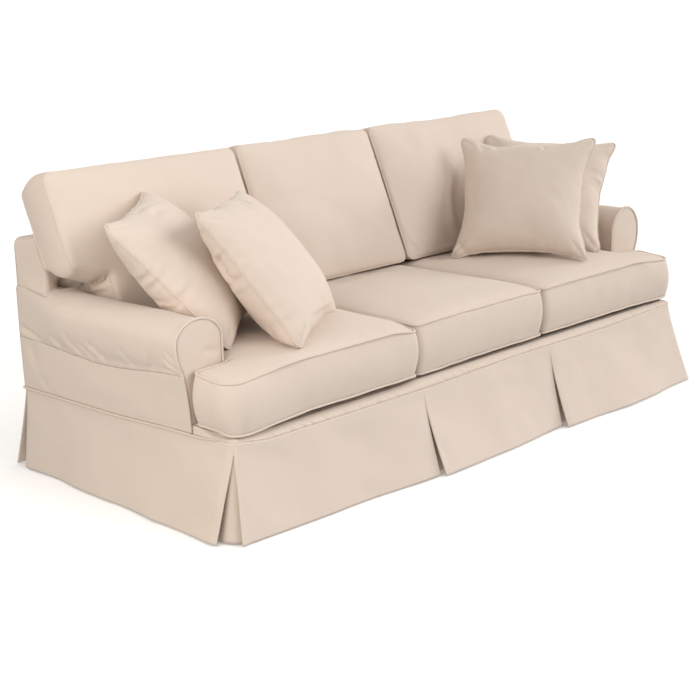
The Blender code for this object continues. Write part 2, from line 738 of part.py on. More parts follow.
def pillow(item):
    """A square knife-edge pillow with drawn-in sides and a cord in its seam."""
    lines = [-1, -0.82, -0.48, 0, 0.48, 0.82, 1]
    plan = plan_mesh(lines, lines, lambda x, y: False)
    rim = rim_of(plan)
    draw_in = 0.055
    turn = Matrix.Rotation(math.radians(item.turn), 4, "Z")
    lean = Matrix.Rotation(math.radians(item.lean), 4, "X")
    roll = Matrix.Rotation(math.radians(item.roll), 4, "Y")
    pose = Matrix.Translation((item.x, item.y, item.z)) @ turn @ lean @ roll

    def shape(u, v, level):
        x = u * (1 - draw_in * (1 - v * v)) * PILLOW_SIDE / 2
        z = v * (1 - draw_in * (1 - u * u)) * PILLOW_SIDE / 2
        fill = math.sqrt(max((1 - u * u) * (1 - v * v), 0))
        thick = PILLOW_EDGE / 2 + (PILLOW_THICK - PILLOW_EDGE) / 2 * fill
        return pose @ Vector((x, thick * (2 * level - 1), z))

    corners = filled_piece(item.name, plan, shape, middle_row=False)
    rim_welt(item.name + "_welt", rim, corners, [0, 1.0])


# ---- build --------------------------------------------------------------------------------------


def build():
    for arm in ARMS:
        arm_top(arm)
        outside_arm(arm)
        arm_facing(arm)
        facing_welt(arm)
        corner_underlay(f"pleat_corner_front_{arm.name}", arm.side, -1)
        corner_underlay(f"pleat_corner_back_{arm.name}", arm.side, 1)
    outside_back()
    back_boxing()
    inside_back()
    deck()
    front_rail()
    for panel in SKIRT:
        skirt_panel(panel)
    for underlay in UNDERLAYS:
        pleat_underlay(underlay)
    skirt_welt()
    for seat in SEATS:
        seat_cushion(seat)
    back_cushion("back_cushion_left", -BACK_CUSHION_EAR, -MEETING)
    back_cushion("back_cushion_middle", -MIDDLE_HALF, MIDDLE_HALF)
    back_cushion("back_cushion_right", MEETING, BACK_CUSHION_EAR)
    for item in PILLOWS:
        pillow(item)


clear_scene()
COLLECTION = bpy.data.collections.new("sofa_slipcover")
bpy.context.scene.collection.children.link(COLLECTION)
build()
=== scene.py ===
"""The looks of the sofa slipcover set: every cloth piece as a fine mesh in the place of its plain
solid, with its crown, seams, welts, puckers and creases, in one woven cloth, under soft light.

Metres, +Z up, front towards -Y. Each piece is first shaped as a Net, which holds its corners, its
faces and where each corner lies on the flat cloth, in metres. The weave follows the flat cloth."""

import math
from collections import namedtuple

import bpy
import numpy as np
from mathutils import Matrix, Vector


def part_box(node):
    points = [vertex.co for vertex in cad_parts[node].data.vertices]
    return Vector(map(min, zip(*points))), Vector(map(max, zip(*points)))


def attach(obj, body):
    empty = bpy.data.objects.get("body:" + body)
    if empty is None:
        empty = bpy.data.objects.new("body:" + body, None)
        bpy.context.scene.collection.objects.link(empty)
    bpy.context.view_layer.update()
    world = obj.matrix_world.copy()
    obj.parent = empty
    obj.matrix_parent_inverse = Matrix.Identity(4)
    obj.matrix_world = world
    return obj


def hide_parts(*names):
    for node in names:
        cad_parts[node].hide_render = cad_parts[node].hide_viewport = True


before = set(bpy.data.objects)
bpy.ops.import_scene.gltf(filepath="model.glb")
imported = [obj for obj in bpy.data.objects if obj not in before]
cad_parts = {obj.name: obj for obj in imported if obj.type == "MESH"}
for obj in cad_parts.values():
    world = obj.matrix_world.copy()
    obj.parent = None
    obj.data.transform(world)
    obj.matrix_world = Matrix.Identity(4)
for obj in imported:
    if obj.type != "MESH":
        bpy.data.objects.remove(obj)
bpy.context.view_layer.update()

# ---- sizes ----

STEP = 0.006  # usual distance between two corners of a mesh
CLOTH = 0.0016
WELT = 0.0035
GAP = 0.0003

LOWEST, HIGHEST = 0, 1
X, Y, Z = 0, 1, 2


def edge(node, which, axis):
    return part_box(node)[which][axis]


BASE_FRONT = -0.461
BASE_BACK = edge("outside_back", HIGHEST, Y)
HALF_FRONT = edge("front_rail", HIGHEST, X)
HALF_BACK = 1.031
CORNER = 0.030
DECK_TOP = edge("deck", HIGHEST, Z)

ARM_AXIS_X = 1.000
ARM_AXIS_Z = 0.505
ROLL_HALF = 0.076
ROLL_UNDER = 0.115
ROLL_START_FRONT = -40  # where the roll leaves the arm's outside at its front, degrees
ROLL_START = -52  # the same further back
ROLL_TAPER = 0.200
NECK_OUT = 0.004
ARM_SWELL = 0.0145  # how far the outside of the arm swells out at its front

BACK_FOOT_Y = 0.200
BACK_RISE = 0.4166
BACK_SIDE = 1.030
BACK_TOP_REAR = 0.700
BACK_TOP_FRONT = 0.716
BACK_ROUND = 0.024

SEAM_HALF = 0.307
CUSHION_SIDE = 0.0065
SEAT_EDGE_LOW = 0.293
SEAT_EDGE_HIGH = 0.436
SEAT_IN_ARM = 0.911
EAR_ROUND = 0.055
NOTCH_ROUND = 0.022
EAR_BEHIND = 0.013
SEAT_REST = 0.0185
EAR_DROOP = 0.020

BACK_EAR_SHARE = 0.40
BACK_FLOOR = 0.4550
BACK_FRONT_FOOT = (0.130, 0.4625)
BACK_FRONT_TOP = (0.312, 0.899)
BACK_REAR_FOOT = (0.2628, 0.4625)
BACK_REAR_TOP = (0.4228, 0.846)
BACK_FORWARD = (-0.923, 0.384)
BACK_LENGTH = 0.48

PILLOW_SIDE = 0.460
PILLOW_THICK = 0.190

HEM = 0.003
DECK_SAG = 0.009  # how far the deck sinks along its front edge
LEFT_SAG = 0.0048  # how much further under the left cushion, which is sat in the most
DECK_TROUGH = 0.034  # how much further it sinks behind that edge, between the frame and its springs
RAIL_LEAN = 0.034  # how far the rail's cloth rounds back on its way up to the deck

FRONT_SEAM = ((-1.038, 0.266), (-0.900, 0.250), (-0.320, 0.248), (0.200, 0.257), (0.600, 0.254),
              (1.038, 0.266))
SIDE_SEAM = ((-0.461, 0.266), (-0.298, 0.258), (0.090, 0.248), (0.476, 0.248))
ROLL_SEAM = ((-0.298, 0.418), (0.080, 0.388), (0.476, 0.406))

Arm = namedtuple("Arm", "name side front top")
ARMS = tuple(
    Arm(name, side, edge("arm_facing_" + name, LOWEST, Y),
        edge("arm_facing_" + name, HIGHEST, Z) + lift)
    for name, side, lift in (("left", -1, 0.0), ("right", 1, 0.007))
)

# Each skirt panel: where its seam and its hem start and end, and how far out the hem stands at its
# start, its middle and its end
Panel = namedtuple("Panel", "name side seam hem out seed")
SKIRT = (
    Panel("front_left", "front", (-1.0280, -0.2975), (-1.054, -0.307), (0.042, 0.052, 0.071), 223),
    Panel("front_middle", "front", (-0.2965, 0.3165), (-0.297, 0.303), (0.090, 0.086, 0.065), 210),
    Panel("front_right", "front", (0.3175, 1.0180), (0.306, 1.028), (0.089, 0.104, 0.085), 224),
    Panel("side_left", "left", (-0.4510, 0.4650), (-0.441, 0.474), (0.062, 0.042, 0.021), 222),
    Panel("side_right", "right", (-0.4510, 0.4650), (-0.441, 0.474), (0.062, 0.042, 0.021), 223),
    Panel("back", "back", (-1.0270, 1.0270), (-1.046, 1.046), (0.051, 0.0892, 0.051), 208),
)

# A crease is a soft trough along a line of places on the cloth, with a ridge on one side, as high
# as this share of the trough's depth. The table is in millimetres.
Crease = namedtuple("Crease", "line depth width ridge")


def crease(depth, width, *line, ridge=0.5):
    return Crease(np.array(line) / 1000, depth / 1000, width / 1000, ridge)


CREASES = {
    "arm_top_left": (
        crease(10, 9, (-1036, 470, 438), (-1038, 400, 418), (-1038, 345, 400)),
        crease(7, 8, (-1056, 295, 440), (-1048, 272, 420), (-1041, 255, 402)),
        crease(8, 9, (-1071, 192, 468), (-1056, 184, 430), (-1043, 158, 402)),
        crease(8, 9, (-1067, 95, 456), (-1054, 68, 425), (-1043, 52, 398)),
        crease(4, 7, (-1064, 150, 450), (-1052, 125, 422), (-1044, 105, 402)),
        crease(4, 10, (-1070, -50, 462), (-1056, -70, 430), (-1046, -82, 405)),
        crease(5, 10, (-1072, -180, 470), (-1060, -172, 435), (-1048, -160, 412)),
        crease(7, 6, (-1074, -252, 486), (-1070, -270, 462), (-1063, -292, 440)),
        crease(8, 6, (-1072, -232, 468), (-1066, -258, 446), (-1060, -290, 431)),
        crease(5, 6, (-1058, -215, 428), (-1056, -250, 424), (-1057, -292, 422)),
        crease(16, 12, (-988, 316, 575), (-945, 300, 553), (-925, 262, 530)),
    ),
    "back_cushion_left": (
        crease(10, 9, (-915, 292, 566), (-915, 240, 586), (-915, 190, 604)),
        crease(9, 8, (-915, 276, 548), (-915, 232, 562), (-915, 185, 576)),
        crease(4, 8, (-915, 240, 530), (-915, 215, 538), (-915, 190, 548)),
    ),
    "back_cushion_right": (
        crease(15, 24, (647, 216, 762), (602, 193, 716), (554, 167, 653),
               (547, 148, 584), (565, 136, 512)),
        crease(6, 14, (560, 190, 740), (520, 170, 670), (500, 155, 600)),
        crease(6, 9, (330, 158, 540), (347, 146, 521), (379, 133, 490)),
        crease(4, 10, (325, 170, 580), (345, 155, 545), (400, 136, 505)),
    ),
    "inside_back": (
        crease(90, 26, (-985, 322, 577), (-943, 312, 554), (-905, 298, 535), ridge=0.05),
        crease(10, 9, (-990, 324, 582), (-950, 328, 590), (-905, 334, 606)),
        crease(8, 8, (-985, 318, 570), (-945, 314, 562), (-905, 308, 548)),
        crease(6, 8, (-950, 340, 620), (-915, 330, 600), (-880, 318, 570)),
    ),
    "arm_facing_left": (
        crease(4, 10, (-992, -298, 482), (-958, -298, 472), (-926, -298, 468)),
    ),
    "outside_arm_left": (
        crease(4, 18, (-1030, 420, 395), (-1032, 410, 350), (-1034, 400, 310)),
        crease(3, 12, (-1034, 380, 300), (-1034, 360, 275), (-1034, 350, 262)),
        crease(3, 20, (-1048, -250, 400), (-1044, -235, 350), (-1040, -230, 290)),
    ),
    "pillow_left_front": (
        crease(10, 8, (-838, -203, 709), (-836, -199, 690), (-824, -206, 662),
               (-812, -240, 640), (-812, -270, 640)),
        crease(9, 7, (-841, -232, 708), (-828, -207, 688), (-821, -216, 668), (-819, -240, 659)),
        crease(6, 7, (-851, -244, 729), (-843, -250, 716), (-832, -260, 702)),
        crease(8, 8, (-800, -225, 618), (-804, -250, 628), (-812, -275, 643)),
        crease(3, 8, (-790, -320, 552), (-774, -347, 546), (-755, -366, 549)),
        crease(4, 10, (-759, -323, 515), (-748, -338, 496), (-738, -349, 479)),
        crease(7, 12, (-680, -50, 806), (-640, -62, 808), (-610, -110, 795)),
        crease(4, 10, (-700, -100, 806), (-660, -110, 800), (-630, -140, 785)),
        crease(5, 9, (-423, -212, 483), (-530, -286, 498), (-627, -351, 511), (-670, -375, 517)),
    ),
    "pillow_left_rear": (
        crease(7, 11, (-919, 32, 789), (-860, 85, 797), (-768, 120, 800)),
        crease(4, 10, (-900, -10, 780), (-840, 40, 792), (-790, 70, 790)),
        crease(8, 8, (-965, -55, 636), (-982, -75, 650), (-993, -116, 664)),
        crease(6, 7, (-955, -85, 618), (-972, -110, 634), (-985, -140, 650)),
        crease(8, 8, (-940, -100, 566), (-938, -135, 572), (-936, -172, 586)),
        crease(5, 8, (-945, -60, 580), (-950, -100, 590), (-950, -140, 600)),
        crease(6, 7, (-944, -112, 580), (-947, -158, 592), (-932, -177, 584)),
    ),
    "pillow_right_front": (
        crease(4, 9, (628, 76, 826), (620, 58, 812), (606, 30, 798)),
        crease(4, 8, (655, 40, 826), (648, 25, 816), (640, 5, 806)),
        crease(4, 7, (728, -122, 826), (722, -132, 818), (714, -142, 810)),
        crease(6, 10, (650, -346, 530), (633, -343, 504), (606, -300, 482)),
        crease(4, 8, (625, -348, 480), (640, -352, 488), (655, -352, 500)),
        crease(5, 10, (445, -2, 540), (430, -8, 510), (439, -40, 488)),
        crease(4, 24, (585, 85, 765), (530, 20, 700), (475, -20, 600)),
    ),
}


# ---- small tools ----


def between(low, high, share):
    return low + (high - low) * share


def smooth(share):
    share = np.clip(share, 0.0, 1.0)
    return share * share * (3 - 2 * share)


def along(table, place):
    """Values at places in a table of (place, value) rows, eased from row to row."""
    place = np.asarray(place, float)
    found = np.full(place.shape, float(table[-1][1]))
    for (start, low), (end, high) in reversed(list(zip(table, table[1:]))):
        eased = between(low, high, smooth((place - start) / (end - start)))
        found = np.where(place <= end, eased, found)
    return found


def arc(centre, radius, start, end, steps):
    """Points of an arc in a plane, angles in degrees."""
    angles = np.radians(np.linspace(start, end, steps + 1))
    return np.stack([centre[0] + radius * np.cos(angles), centre[1] + radius * np.sin(angles)], 1)


def units(steps):
    return steps / np.linalg.norm(steps, axis=1)[:, None]


def to_right(line):
    """Unit steps to the right of a line of plan points."""
    ahead = units(np.gradient(line, axis=0))
    return np.stack([ahead[:, 1], -ahead[:, 0]], 1)


def lengths(points):
    """Distance along a line of points, from its first to each of them."""
    runs = np.linalg.norm(np.diff(points, axis=0), axis=1)
    return np.concatenate([[0.0], np.cumsum(runs)])


def resampled(points, count):
    """The same line with evenly spaced points."""
    at = lengths(points)
    new = np.linspace(0, at[-1], count)
    return np.stack([np.interp(new, at, axis) for axis in points.T], 1)


def eased_line(points, count):
    """A smooth line through a few points (Catmull-Rom), with evenly spaced points."""
    p = np.concatenate([[2 * points[0] - points[1]], points, [2 * points[-1] - points[-2]]])
    t = np.linspace(0, 1, 12, endpoint=False)[:, None]
    runs = []
    for a, b, c, d in zip(p, p[1:], p[2:], p[3:]):
        runs.append(0.5 * (2 * b + (c - a) * t + (2 * a - 5 * b + 4 * c - d) * t**2
                           + (3 * b - a - 3 * c + d) * t**3))
    return resampled(np.concatenate([*runs, [p[-2]]]), count)


def lattice_noise(points, size, seed):
    """Smooth noise from -1 to 1 at these places. size is the distance between its bumps."""
    table = np.random.default_rng(seed).uniform(-1, 1, 4096)
    at = points / size + 100.0
    cell = np.floor(at).astype(np.int64)
    part = smooth(at - cell)
    total = np.zeros(at.shape[:-1])
    for corner in np.ndindex(2, 2, 2):
        c = cell + corner
        key = (c[..., 0] * 73856093 ^ c[..., 1] * 19349663 ^ c[..., 2] * 83492791) % 4096
        weight = np.prod(np.where(corner, part, 1 - part), axis=-1)
        total += weight * table[key]
    return total


def grid_noise(x, y, z, size, seed):
    """The same noise at the places of a grid."""
    return lattice_noise(np.stack(np.broadcast_arrays(x, y, z), -1), size, seed)


# ---- nets: meshes while they are being shaped ----


class Net:
    """Corners, quads and each quad's corners on the flat cloth."""

    def __init__(self):
        self.points = np.zeros((0, 3))
        self.quads = np.zeros((0, 4), np.int64)
        self.flat = np.zeros((0, 4, 2))

    def add_points(self, points):
        first = len(self.points)
        self.points = np.concatenate([self.points, np.reshape(points, (-1, 3))])
        return np.arange(first, len(self.points))

    def add_quads(self, quads, flat):
        self.quads = np.concatenate([self.quads, quads])
        self.flat = np.concatenate([self.flat, flat])

    def add_faces(self, index, flat, turned=False):
        """Quads of a grid of corner numbers; -1 marks a corner that isn't there."""
        def four(grid):
            return np.stack([grid[:-1, :-1], grid[:-1, 1:], grid[1:, 1:], grid[1:, :-1]], 2)

        quads = four(index).reshape(-1, 4)
        places = four(flat).reshape(-1, 4, 2)
        whole = (quads >= 0).all(1)
        way = -1 if turned else 1
        self.add_quads(quads[whole][:, ::way], places[whole][:, ::way])

    def normals(self):
        corners = self.points[self.quads]
        across = np.cross(corners[:, 2] - corners[:, 0], corners[:, 3] - corners[:, 1])
        total = np.zeros_like(self.points)
        for i in range(4):
            np.add.at(total, self.quads[:, i], across)
        return total / np.maximum(np.linalg.norm(total, axis=1), 1e-12)[:, None]

    def rise(self, height):
        """Moves each point along its normal by its height."""
        self.points += np.ravel(height)[:, None] * self.normals()

    def flat_area(self):
        a, b, c, d = (self.flat[:, i] for i in range(4))
        one, two = c - a, d - b
        return float(np.abs(one[:, 0] * two[:, 1] - one[:, 1] * two[:, 0]).sum() / 2)

    def flat_sides(self):
        spread = self.flat.reshape(-1, 2)
        return tuple(float(v) for v in spread.max(0) - spread.min(0))


def grid_net(x, y, z, flat=None):
    """A sheet from a grid of places. Where it lies flat is measured along its middle lines, unless
    flat gives it as two grids."""
    points = np.stack(np.broadcast_arrays(x, y, z), -1)
    rows, columns = points.shape[:2]
    if flat is None:
        flat = np.meshgrid(lengths(points[rows // 2]), lengths(points[:, columns // 2]))
    net = Net()
    index = net.add_points(points).reshape(rows, columns)
    net.add_faces(index, np.stack(np.broadcast_arrays(*flat), -1))
    return net


def beside(points, start, end):
    """Each point's nearest place on a straight run: its share of the run, and the step from it."""
    run = end - start
    share = np.clip(((points - start) @ run) / (run @ run), 0, 1)
    return share, points - start - share[:, None] * run


def creased(net, creases, keep):
    """Moves the net's points along its normals by each crease's trough and ridge. keep is how much
    of that each point takes."""
    if not creases:
        return
    off_cloth = 0.035  # a point this far off a crease's plane belongs to another face
    normal = net.normals()
    moved = np.zeros(len(net.points))
    for crease in creases:
        line = eased_line(crease.line, 4 * len(crease.line))
        at = lengths(line) / lengths(line)[-1]
        low, high = line.min(0) - 5 * crease.width, line.max(0) + 5 * crease.width
        near = np.where(((net.points > low) & (net.points < high)).all(1))[0]
        here, up = net.points[near], normal[near]
        best = np.full(len(near), np.inf)
        side, place = np.zeros(len(near)), np.zeros(len(near))
        for i, (start, end) in enumerate(zip(line, line[1:])):
            share, apart = beside(here, start, end)
            off = (apart * up).sum(1)
            apart -= off[:, None] * up
            distance = np.linalg.norm(apart, axis=1) + np.where(np.abs(off) > off_cloth, 1.0, 0.0)
            closer = distance < best
            turn = np.sign((np.cross(end - start, up) * apart).sum(1))
            best = np.where(closer, distance, best)
            side = np.where(closer, turn * distance, side)
            place = np.where(closer, between(at[i], at[i + 1], share), place)
        taper = np.sin(math.pi * np.clip(place, 0.02, 0.98)) ** 0.7
        trough = -np.exp(-((best / crease.width) ** 2))
        past_ridge = (side - 1.9 * crease.width) / (1.2 * crease.width)
        moved[near] += crease.depth * taper * (trough + crease.ridge * np.exp(-(past_ridge**2)))
    net.points += (moved * keep)[:, None] * normal


def rumpled(net, height, size, seed, keep):
    """Uneven cloth: two scales of soft noise along the normals. keep is how much of it each point
    takes, from 0 to 1."""
    noise = lattice_noise(net.points, size, seed)
    noise += 0.35 * lattice_noise(net.points, size * 0.38, seed + 1)
    net.rise(height * noise * np.ravel(keep))


# ---- cloth ----

CLOTH_COLOUR = (0.705, 0.593, 0.510)
THREAD = 0.0009  # distance between two threads of the weave


def put(tree, node, inputs):
    """Puts values, or the outputs of other nodes, into a node's inputs."""
    for key, value in inputs.items():
        if isinstance(value, bpy.types.NodeSocket):
            tree.links.new(value, node.inputs[key])
        else:
            node.inputs[key].default_value = value
    return node.outputs


def add_node(tree, kind, inputs, **settings):
    """Adds a shader node and returns its outputs."""
    node = tree.nodes.new("ShaderNode" + kind)
    for name, value in settings.items():
        setattr(node, name, value)
    return put(tree, node, inputs)


def calculator(tree):
    """A function that adds a node of the given operation on its values."""
    def calc(operation, *values):
        return add_node(tree, "Math", dict(enumerate(values)), operation=operation)[0]

    return calc


def cloth_material(name):
    """A plain weave that follows the flat cloth, uneven in its threads, with a soft nap. The
    hollows between its threads are painted shade, darker than the crowns.
    """
    made = bpy.data.materials.new(name)
    made.use_nodes = True
    tree = made.node_tree
    calc = calculator(tree)

    def noise(across, up, detail):
        scaled = add_node(tree, "Mapping", {"Vector": flat, "Scale": (across, up, 1.0)})[0]
        inputs = {"Scale": 1.0, "Detail": detail, "Vector": scaled}
        return add_node(tree, "TexNoise", inputs)["Fac"]

    def rounded(threads):
        return calc("ABSOLUTE", calc("SINE", calc("MULTIPLY", threads, math.pi)))

    flat = add_node(tree, "UVMap", {}, uv_map="cloth")["UV"]
    axes = add_node(tree, "SeparateXYZ", {0: flat})
    warp, weft = (calc("MULTIPLY", axes[axis], 1 / THREAD) for axis in "XY")
    over = calc("FLOORED_MODULO", calc("ADD", calc("FLOOR", warp), calc("FLOOR", weft)), 2.0)
    under = calc("SUBTRACT", 1.0, over)
    height = calc("ADD", calc("MULTIPLY", rounded(warp), over),
                  calc("MULTIPLY", rounded(weft), under))
    slubs = calc("ADD", noise(900.0, 40.0, 1.0), noise(40.0, 900.0, 1.0))
    patches = noise(9.0, 7.0, 3.0)
    tone = calc("ADD", calc("MULTIPLY", slubs, 0.09), calc("MULTIPLY", patches, 0.05))
    # Painted shade: the weave's height darkens the hollows between threads and lightens their
    # crowns
    tone = calc("ADD", tone, calc("MULTIPLY", height, 0.05))
    light, dark = ((*(min(c * shade, 1.0) for c in CLOTH_COLOUR), 1.0) for shade in (1.07, 0.90))
    shades = {"Factor": calc("MULTIPLY", tone, 2.6), "A": dark, "B": light}
    raised = calc("ADD", height, calc("MULTIPLY", slubs, 1.2))
    bump = {"Strength": 0.35, "Distance": 0.00025, "Height": raised}
    put(tree, tree.nodes["Principled BSDF"], {
        "Roughness": 0.88, "Specular IOR Level": 0.25,
        "Sheen Weight": 0.18, "Sheen Roughness": 0.45,
        "Base Color": add_node(tree, "Mix", shades, data_type="RGBA")["Result"],
        "Normal": add_node(tree, "Bump", bump)["Normal"],
    })
    return made


CLOTH_MATERIAL = cloth_material("slipcover_cloth")


def rotation(angle, axis):
    return Matrix.Rotation(angle, 4, axis)


def new_mesh(name, points, faces):
    mesh = bpy.data.meshes.new(name)
    mesh.from_pydata(points.tolist(), [], faces.tolist())
    return mesh


def new_object(name, data):
    made = bpy.data.objects.new(name, data)
    bpy.context.scene.collection.objects.link(made)
    return made


def show(name, net, thick=0.0, keep=1.0):
    """Makes the net, with its creases, a piece that stands for the solid of the same name."""
    creased(net, CREASES.get(name), keep)
    mesh = new_mesh(name, net.points, net.quads)
    layer = mesh.uv_layers.new(name="cloth")
    layer.uv.foreach_set("vector", net.flat.astype(np.float32).ravel())
    mesh.materials.append(CLOTH_MATERIAL)
    mesh.shade_smooth()
    piece = new_object(name + "_cloth", mesh)
    if thick:
        solid = piece.modifiers.new("thickness", "SOLIDIFY")
        solid.thickness = thick
        solid.offset = -1
    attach(piece, "root")
    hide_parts(name)
    return piece


def show_sheet(name, net, keep=1.0):
    """A piece that is a sheet, as thick as the cloth."""
    width, length = net.flat_sides()
    area = min(net.flat_area(), width * length)
    piece = show(name, net, thick=CLOTH, keep=keep)


def cord_net(line, radius, closed, seed):
    """A covered cord along a line: a tube, a little uneven, whose cloth is cut on the bias."""
    sides = 8
    bias = 0.7071
    ahead = np.roll(line, -1, 0) - line if closed else np.gradient(line, axis=0)
    behind = line - np.roll(line, 1, 0) if closed else ahead
    tangent = units(ahead + behind)
    normal = np.zeros_like(line)
    normal[0] = units(np.cross(tangent[:1], (0.31, 0.17, 0.93)))[0]
    for i in range(1, len(line)):
        carried = normal[i - 1] - (normal[i - 1] @ tangent[i]) * tangent[i]
        normal[i] = carried / np.linalg.norm(carried)
    other = np.cross(tangent, normal)
    uneven = 1 + 0.06 * lattice_noise(line, 0.020, seed)
    uneven += 0.05 * lattice_noise(line, 0.006, seed + 3)
    turn = np.radians(np.linspace(0, 360, sides, endpoint=False))[None, :, None]
    around = np.cos(turn) * normal[:, None] + np.sin(turn) * other[:, None]
    net = Net()
    index = net.add_points(line[:, None] + (radius * uneven)[:, None, None] * around)
    index = index.reshape(len(line), sides)
    index = np.concatenate([index, index[:, :1]], 1)
    at = lengths(line)
    if closed:
        index = np.concatenate([index, index[:1]], 0)
        at = np.append(at, at[-1] + np.linalg.norm(line[0] - line[-1]))
    u, v = np.meshgrid(np.linspace(0, 2 * math.pi * WELT, sides + 1), at)
    net.add_faces(index, bias * np.stack([u + v, v - u], -1), turned=True)
    if not closed:
        for end in (0, -1):
            tip = net.add_points(line[end])[0]
            ring = index[end]
            quads = [(*ring[i : i + 3], tip) for i in range(0, sides, 2)]
            net.add_quads(quads, np.zeros((len(quads), 4, 2)))
    return net


def show_cord(name, line, closed, seed, radius=WELT):
    show(name, cord_net(line, radius, closed, seed))


# ---- the arms ----


def half_at(y):
    return between(HALF_FRONT, HALF_BACK, (y - BASE_FRONT) / (BASE_BACK - BASE_FRONT))


def outer_half(arm, y, height):
    """Half width of the outside of the arm, which swells towards the front under the roll."""
    low, high = along(SIDE_SEAM, y), along(ROLL_SEAM, y)
    share = np.clip((height - low) / (high - low), 0, 1)
    swell = ARM_SWELL * (1 - smooth((y - arm.front) / 0.36))
    return half_at(y) + NECK_OUT * share + swell * share**2.5


def drawn_in(y):
    """How far the arm's roll and the side of the back have drawn in on the way to the rear."""
    return smooth((y - ROLL_TAPER) / (BASE_BACK - ROLL_TAPER))


def arm_section(arm, y, count):
    """The arm's cloth in (half width, height), from the seam under the roll to the deck inside."""
    neck = half_at(y) + NECK_OUT
    start = between(ROLL_START_FRONT, ROLL_START, smooth((y - arm.front) / 0.30))
    turn = np.radians(np.linspace(start, 180, 60))
    height = np.where(turn > 0, arm.top - ARM_AXIS_Z, ROLL_UNDER)
    x = ARM_AXIS_X + ROLL_HALF * np.cos(turn)
    z = ARM_AXIS_Z + height * np.sin(turn)
    x = between(x, np.minimum(x, neck), drawn_in(y))
    seam_z = float(along(ROLL_SEAM, y))
    seam = (float(outer_half(arm, y, seam_z)), seam_z)
    wall = [(x[-1], h) for h in np.linspace(ARM_AXIS_Z, DECK_TOP - CLOTH, 10)[1:]]
    return resampled(np.concatenate([[seam], np.stack([x, z], 1), wall]), count)


def arm_run(arm):
    return arm.front + CLOTH + GAP, BASE_BACK - CLOTH - GAP


def arm_top(arm):
    step, girth = 0.0064, 0.62
    front, back = arm_run(arm)
    count = round(girth / step)
    y = np.linspace(front, back, round((back - front) / step))[:: -arm.side]
    sections = np.array([arm_section(arm, at, count) for at in y])
    net = grid_net(arm.side * sections[..., 0], y[:, None], sections[..., 1])
    to_end = np.minimum(y - front, back - y)[:, None]
    rumpled(net, 0.0022, 0.11, 11 + arm.side, np.repeat(smooth(to_end / 0.03), count, 1))
    from_seam = np.tile(np.arange(count) * STEP, len(y))
    show_sheet(f"arm_top_{arm.name}", net,
               keep=smooth(from_seam / 0.012))


def shares(columns, rows):
    """Grids of how far across and how far up each point of a sheet is, from 0 to 1."""
    return np.meshgrid(np.linspace(0, 1, columns), np.linspace(0, 1, rows))


def outside_arm(arm):
    fullness = 0.005
    front, back = arm_run(arm)
    u, v = shares(round((back - front) / STEP), 28)
    y = between(front, back, u if arm.side > 0 else 1 - u)
    z = between(along(SIDE_SEAM, y) + GAP, along(ROLL_SEAM, y) - GAP, v)
    bulge = fullness * np.sin(math.pi * u) * np.sin(math.pi * v)
    net = grid_net(arm.side * (outer_half(arm, y, z) + bulge), y, z)
    rumpled(net, 0.0025, 0.12, 21 + arm.side, smooth(np.minimum(v, 1 - v) / 0.25))
    show_sheet(f"outside_arm_{arm.name}", net)


def facing_edge(arm):
    """The front panel's outline in (half width, height): up its outer side, over the roll and down
    its inner side."""
    section = arm_section(arm, arm.front, 160)
    heights = np.linspace(DECK_TOP - CLOTH, section[0, 1], 20)[:-1]
    outer = np.stack([outer_half(arm, arm.front, heights), heights], 1)
    return np.concatenate([outer, section])


def arm_facing(arm):
    pad = 0.005
    outline = facing_edge(arm)
    peak = outline[:, 1].argmax()
    low, top = DECK_TOP - CLOTH, outline[peak, 1]
    roll = ARM_AXIS_Z + (top - 0.0004 - ARM_AXIS_Z) * np.sin(np.linspace(0, math.pi / 2, 26))
    z = np.concatenate([np.linspace(low, ARM_AXIS_Z, 34)[:-1], roll])[:, None]
    right, left = (np.interp(z, side[:, 1], side[:, 0])
                   for side in (outline[: peak + 1], outline[peak:][::-1]))
    across = np.linspace(0, 1, 26)[:: arm.side]
    x = between(left, right, across)
    rise = np.clip((z - low) / (top - low), 0, 1)
    full = np.sin(math.pi * across) ** 0.6 * np.sin(math.pi * rise) ** 0.5
    net = grid_net(arm.side * x, arm.front - pad * full, z, (x, z))
    rumpled(net, 0.0012, 0.05, 31 + arm.side, full)
    show_sheet(f"arm_facing_{arm.name}", net)


def facing_welt(arm):
    outline = facing_edge(arm)
    outline[0] = half_at(arm.front), along(SIDE_SEAM, arm.front) + 2 * WELT
    outline[-1, 1] = DECK_TOP + GAP
    outline = resampled(outline, 180)
    out = outline + to_right(outline) * (WELT + 2 * GAP)
    line = np.stack([arm.side * out[:, 0], np.full(len(out), arm.front), out[:, 1]], 1)
    show_cord(f"facing_welt_{arm.name}", line, False, 41 + arm.side)


# ---- the back, the deck and the front rail ----


def back_plane_y(height):
    return BACK_FOOT_Y + BACK_RISE * (height - DECK_TOP)


def back_corner(top, end=88):
    """The round of one of the back's top corners, in (half width, height)."""
    return arc((BACK_SIDE - BACK_ROUND, top - BACK_ROUND), BACK_ROUND, 0, end, 8)


def shoulder(arm, clear=0.0):
    """Height at which the side of the back meets the arm's roll."""
    angle = math.acos((BACK_SIDE - ARM_AXIS_X) / ROLL_HALF)
    return ARM_AXIS_Z + (arm.top - ARM_AXIS_Z + clear) * math.sin(angle)


def flared(arm, height, y):
    """How far out and down the side of the back goes at this height, as it curves onto the roll."""
    reach, rise = 0.024, 0.06
    start = shoulder(arm)
    low = 1 - smooth((height - start) / rise)
    spread = reach * low**3.2 * (1 - drawn_in(y)) ** 0.6
    over = np.clip((BACK_SIDE - ARM_AXIS_X + spread) / ROLL_HALF, 0, 0.98)
    foot = ARM_AXIS_Z + (arm.top - ARM_AXIS_Z - 4 * GAP) * np.sqrt(1 - over**2)
    return spread, low**2 * (foot - start)


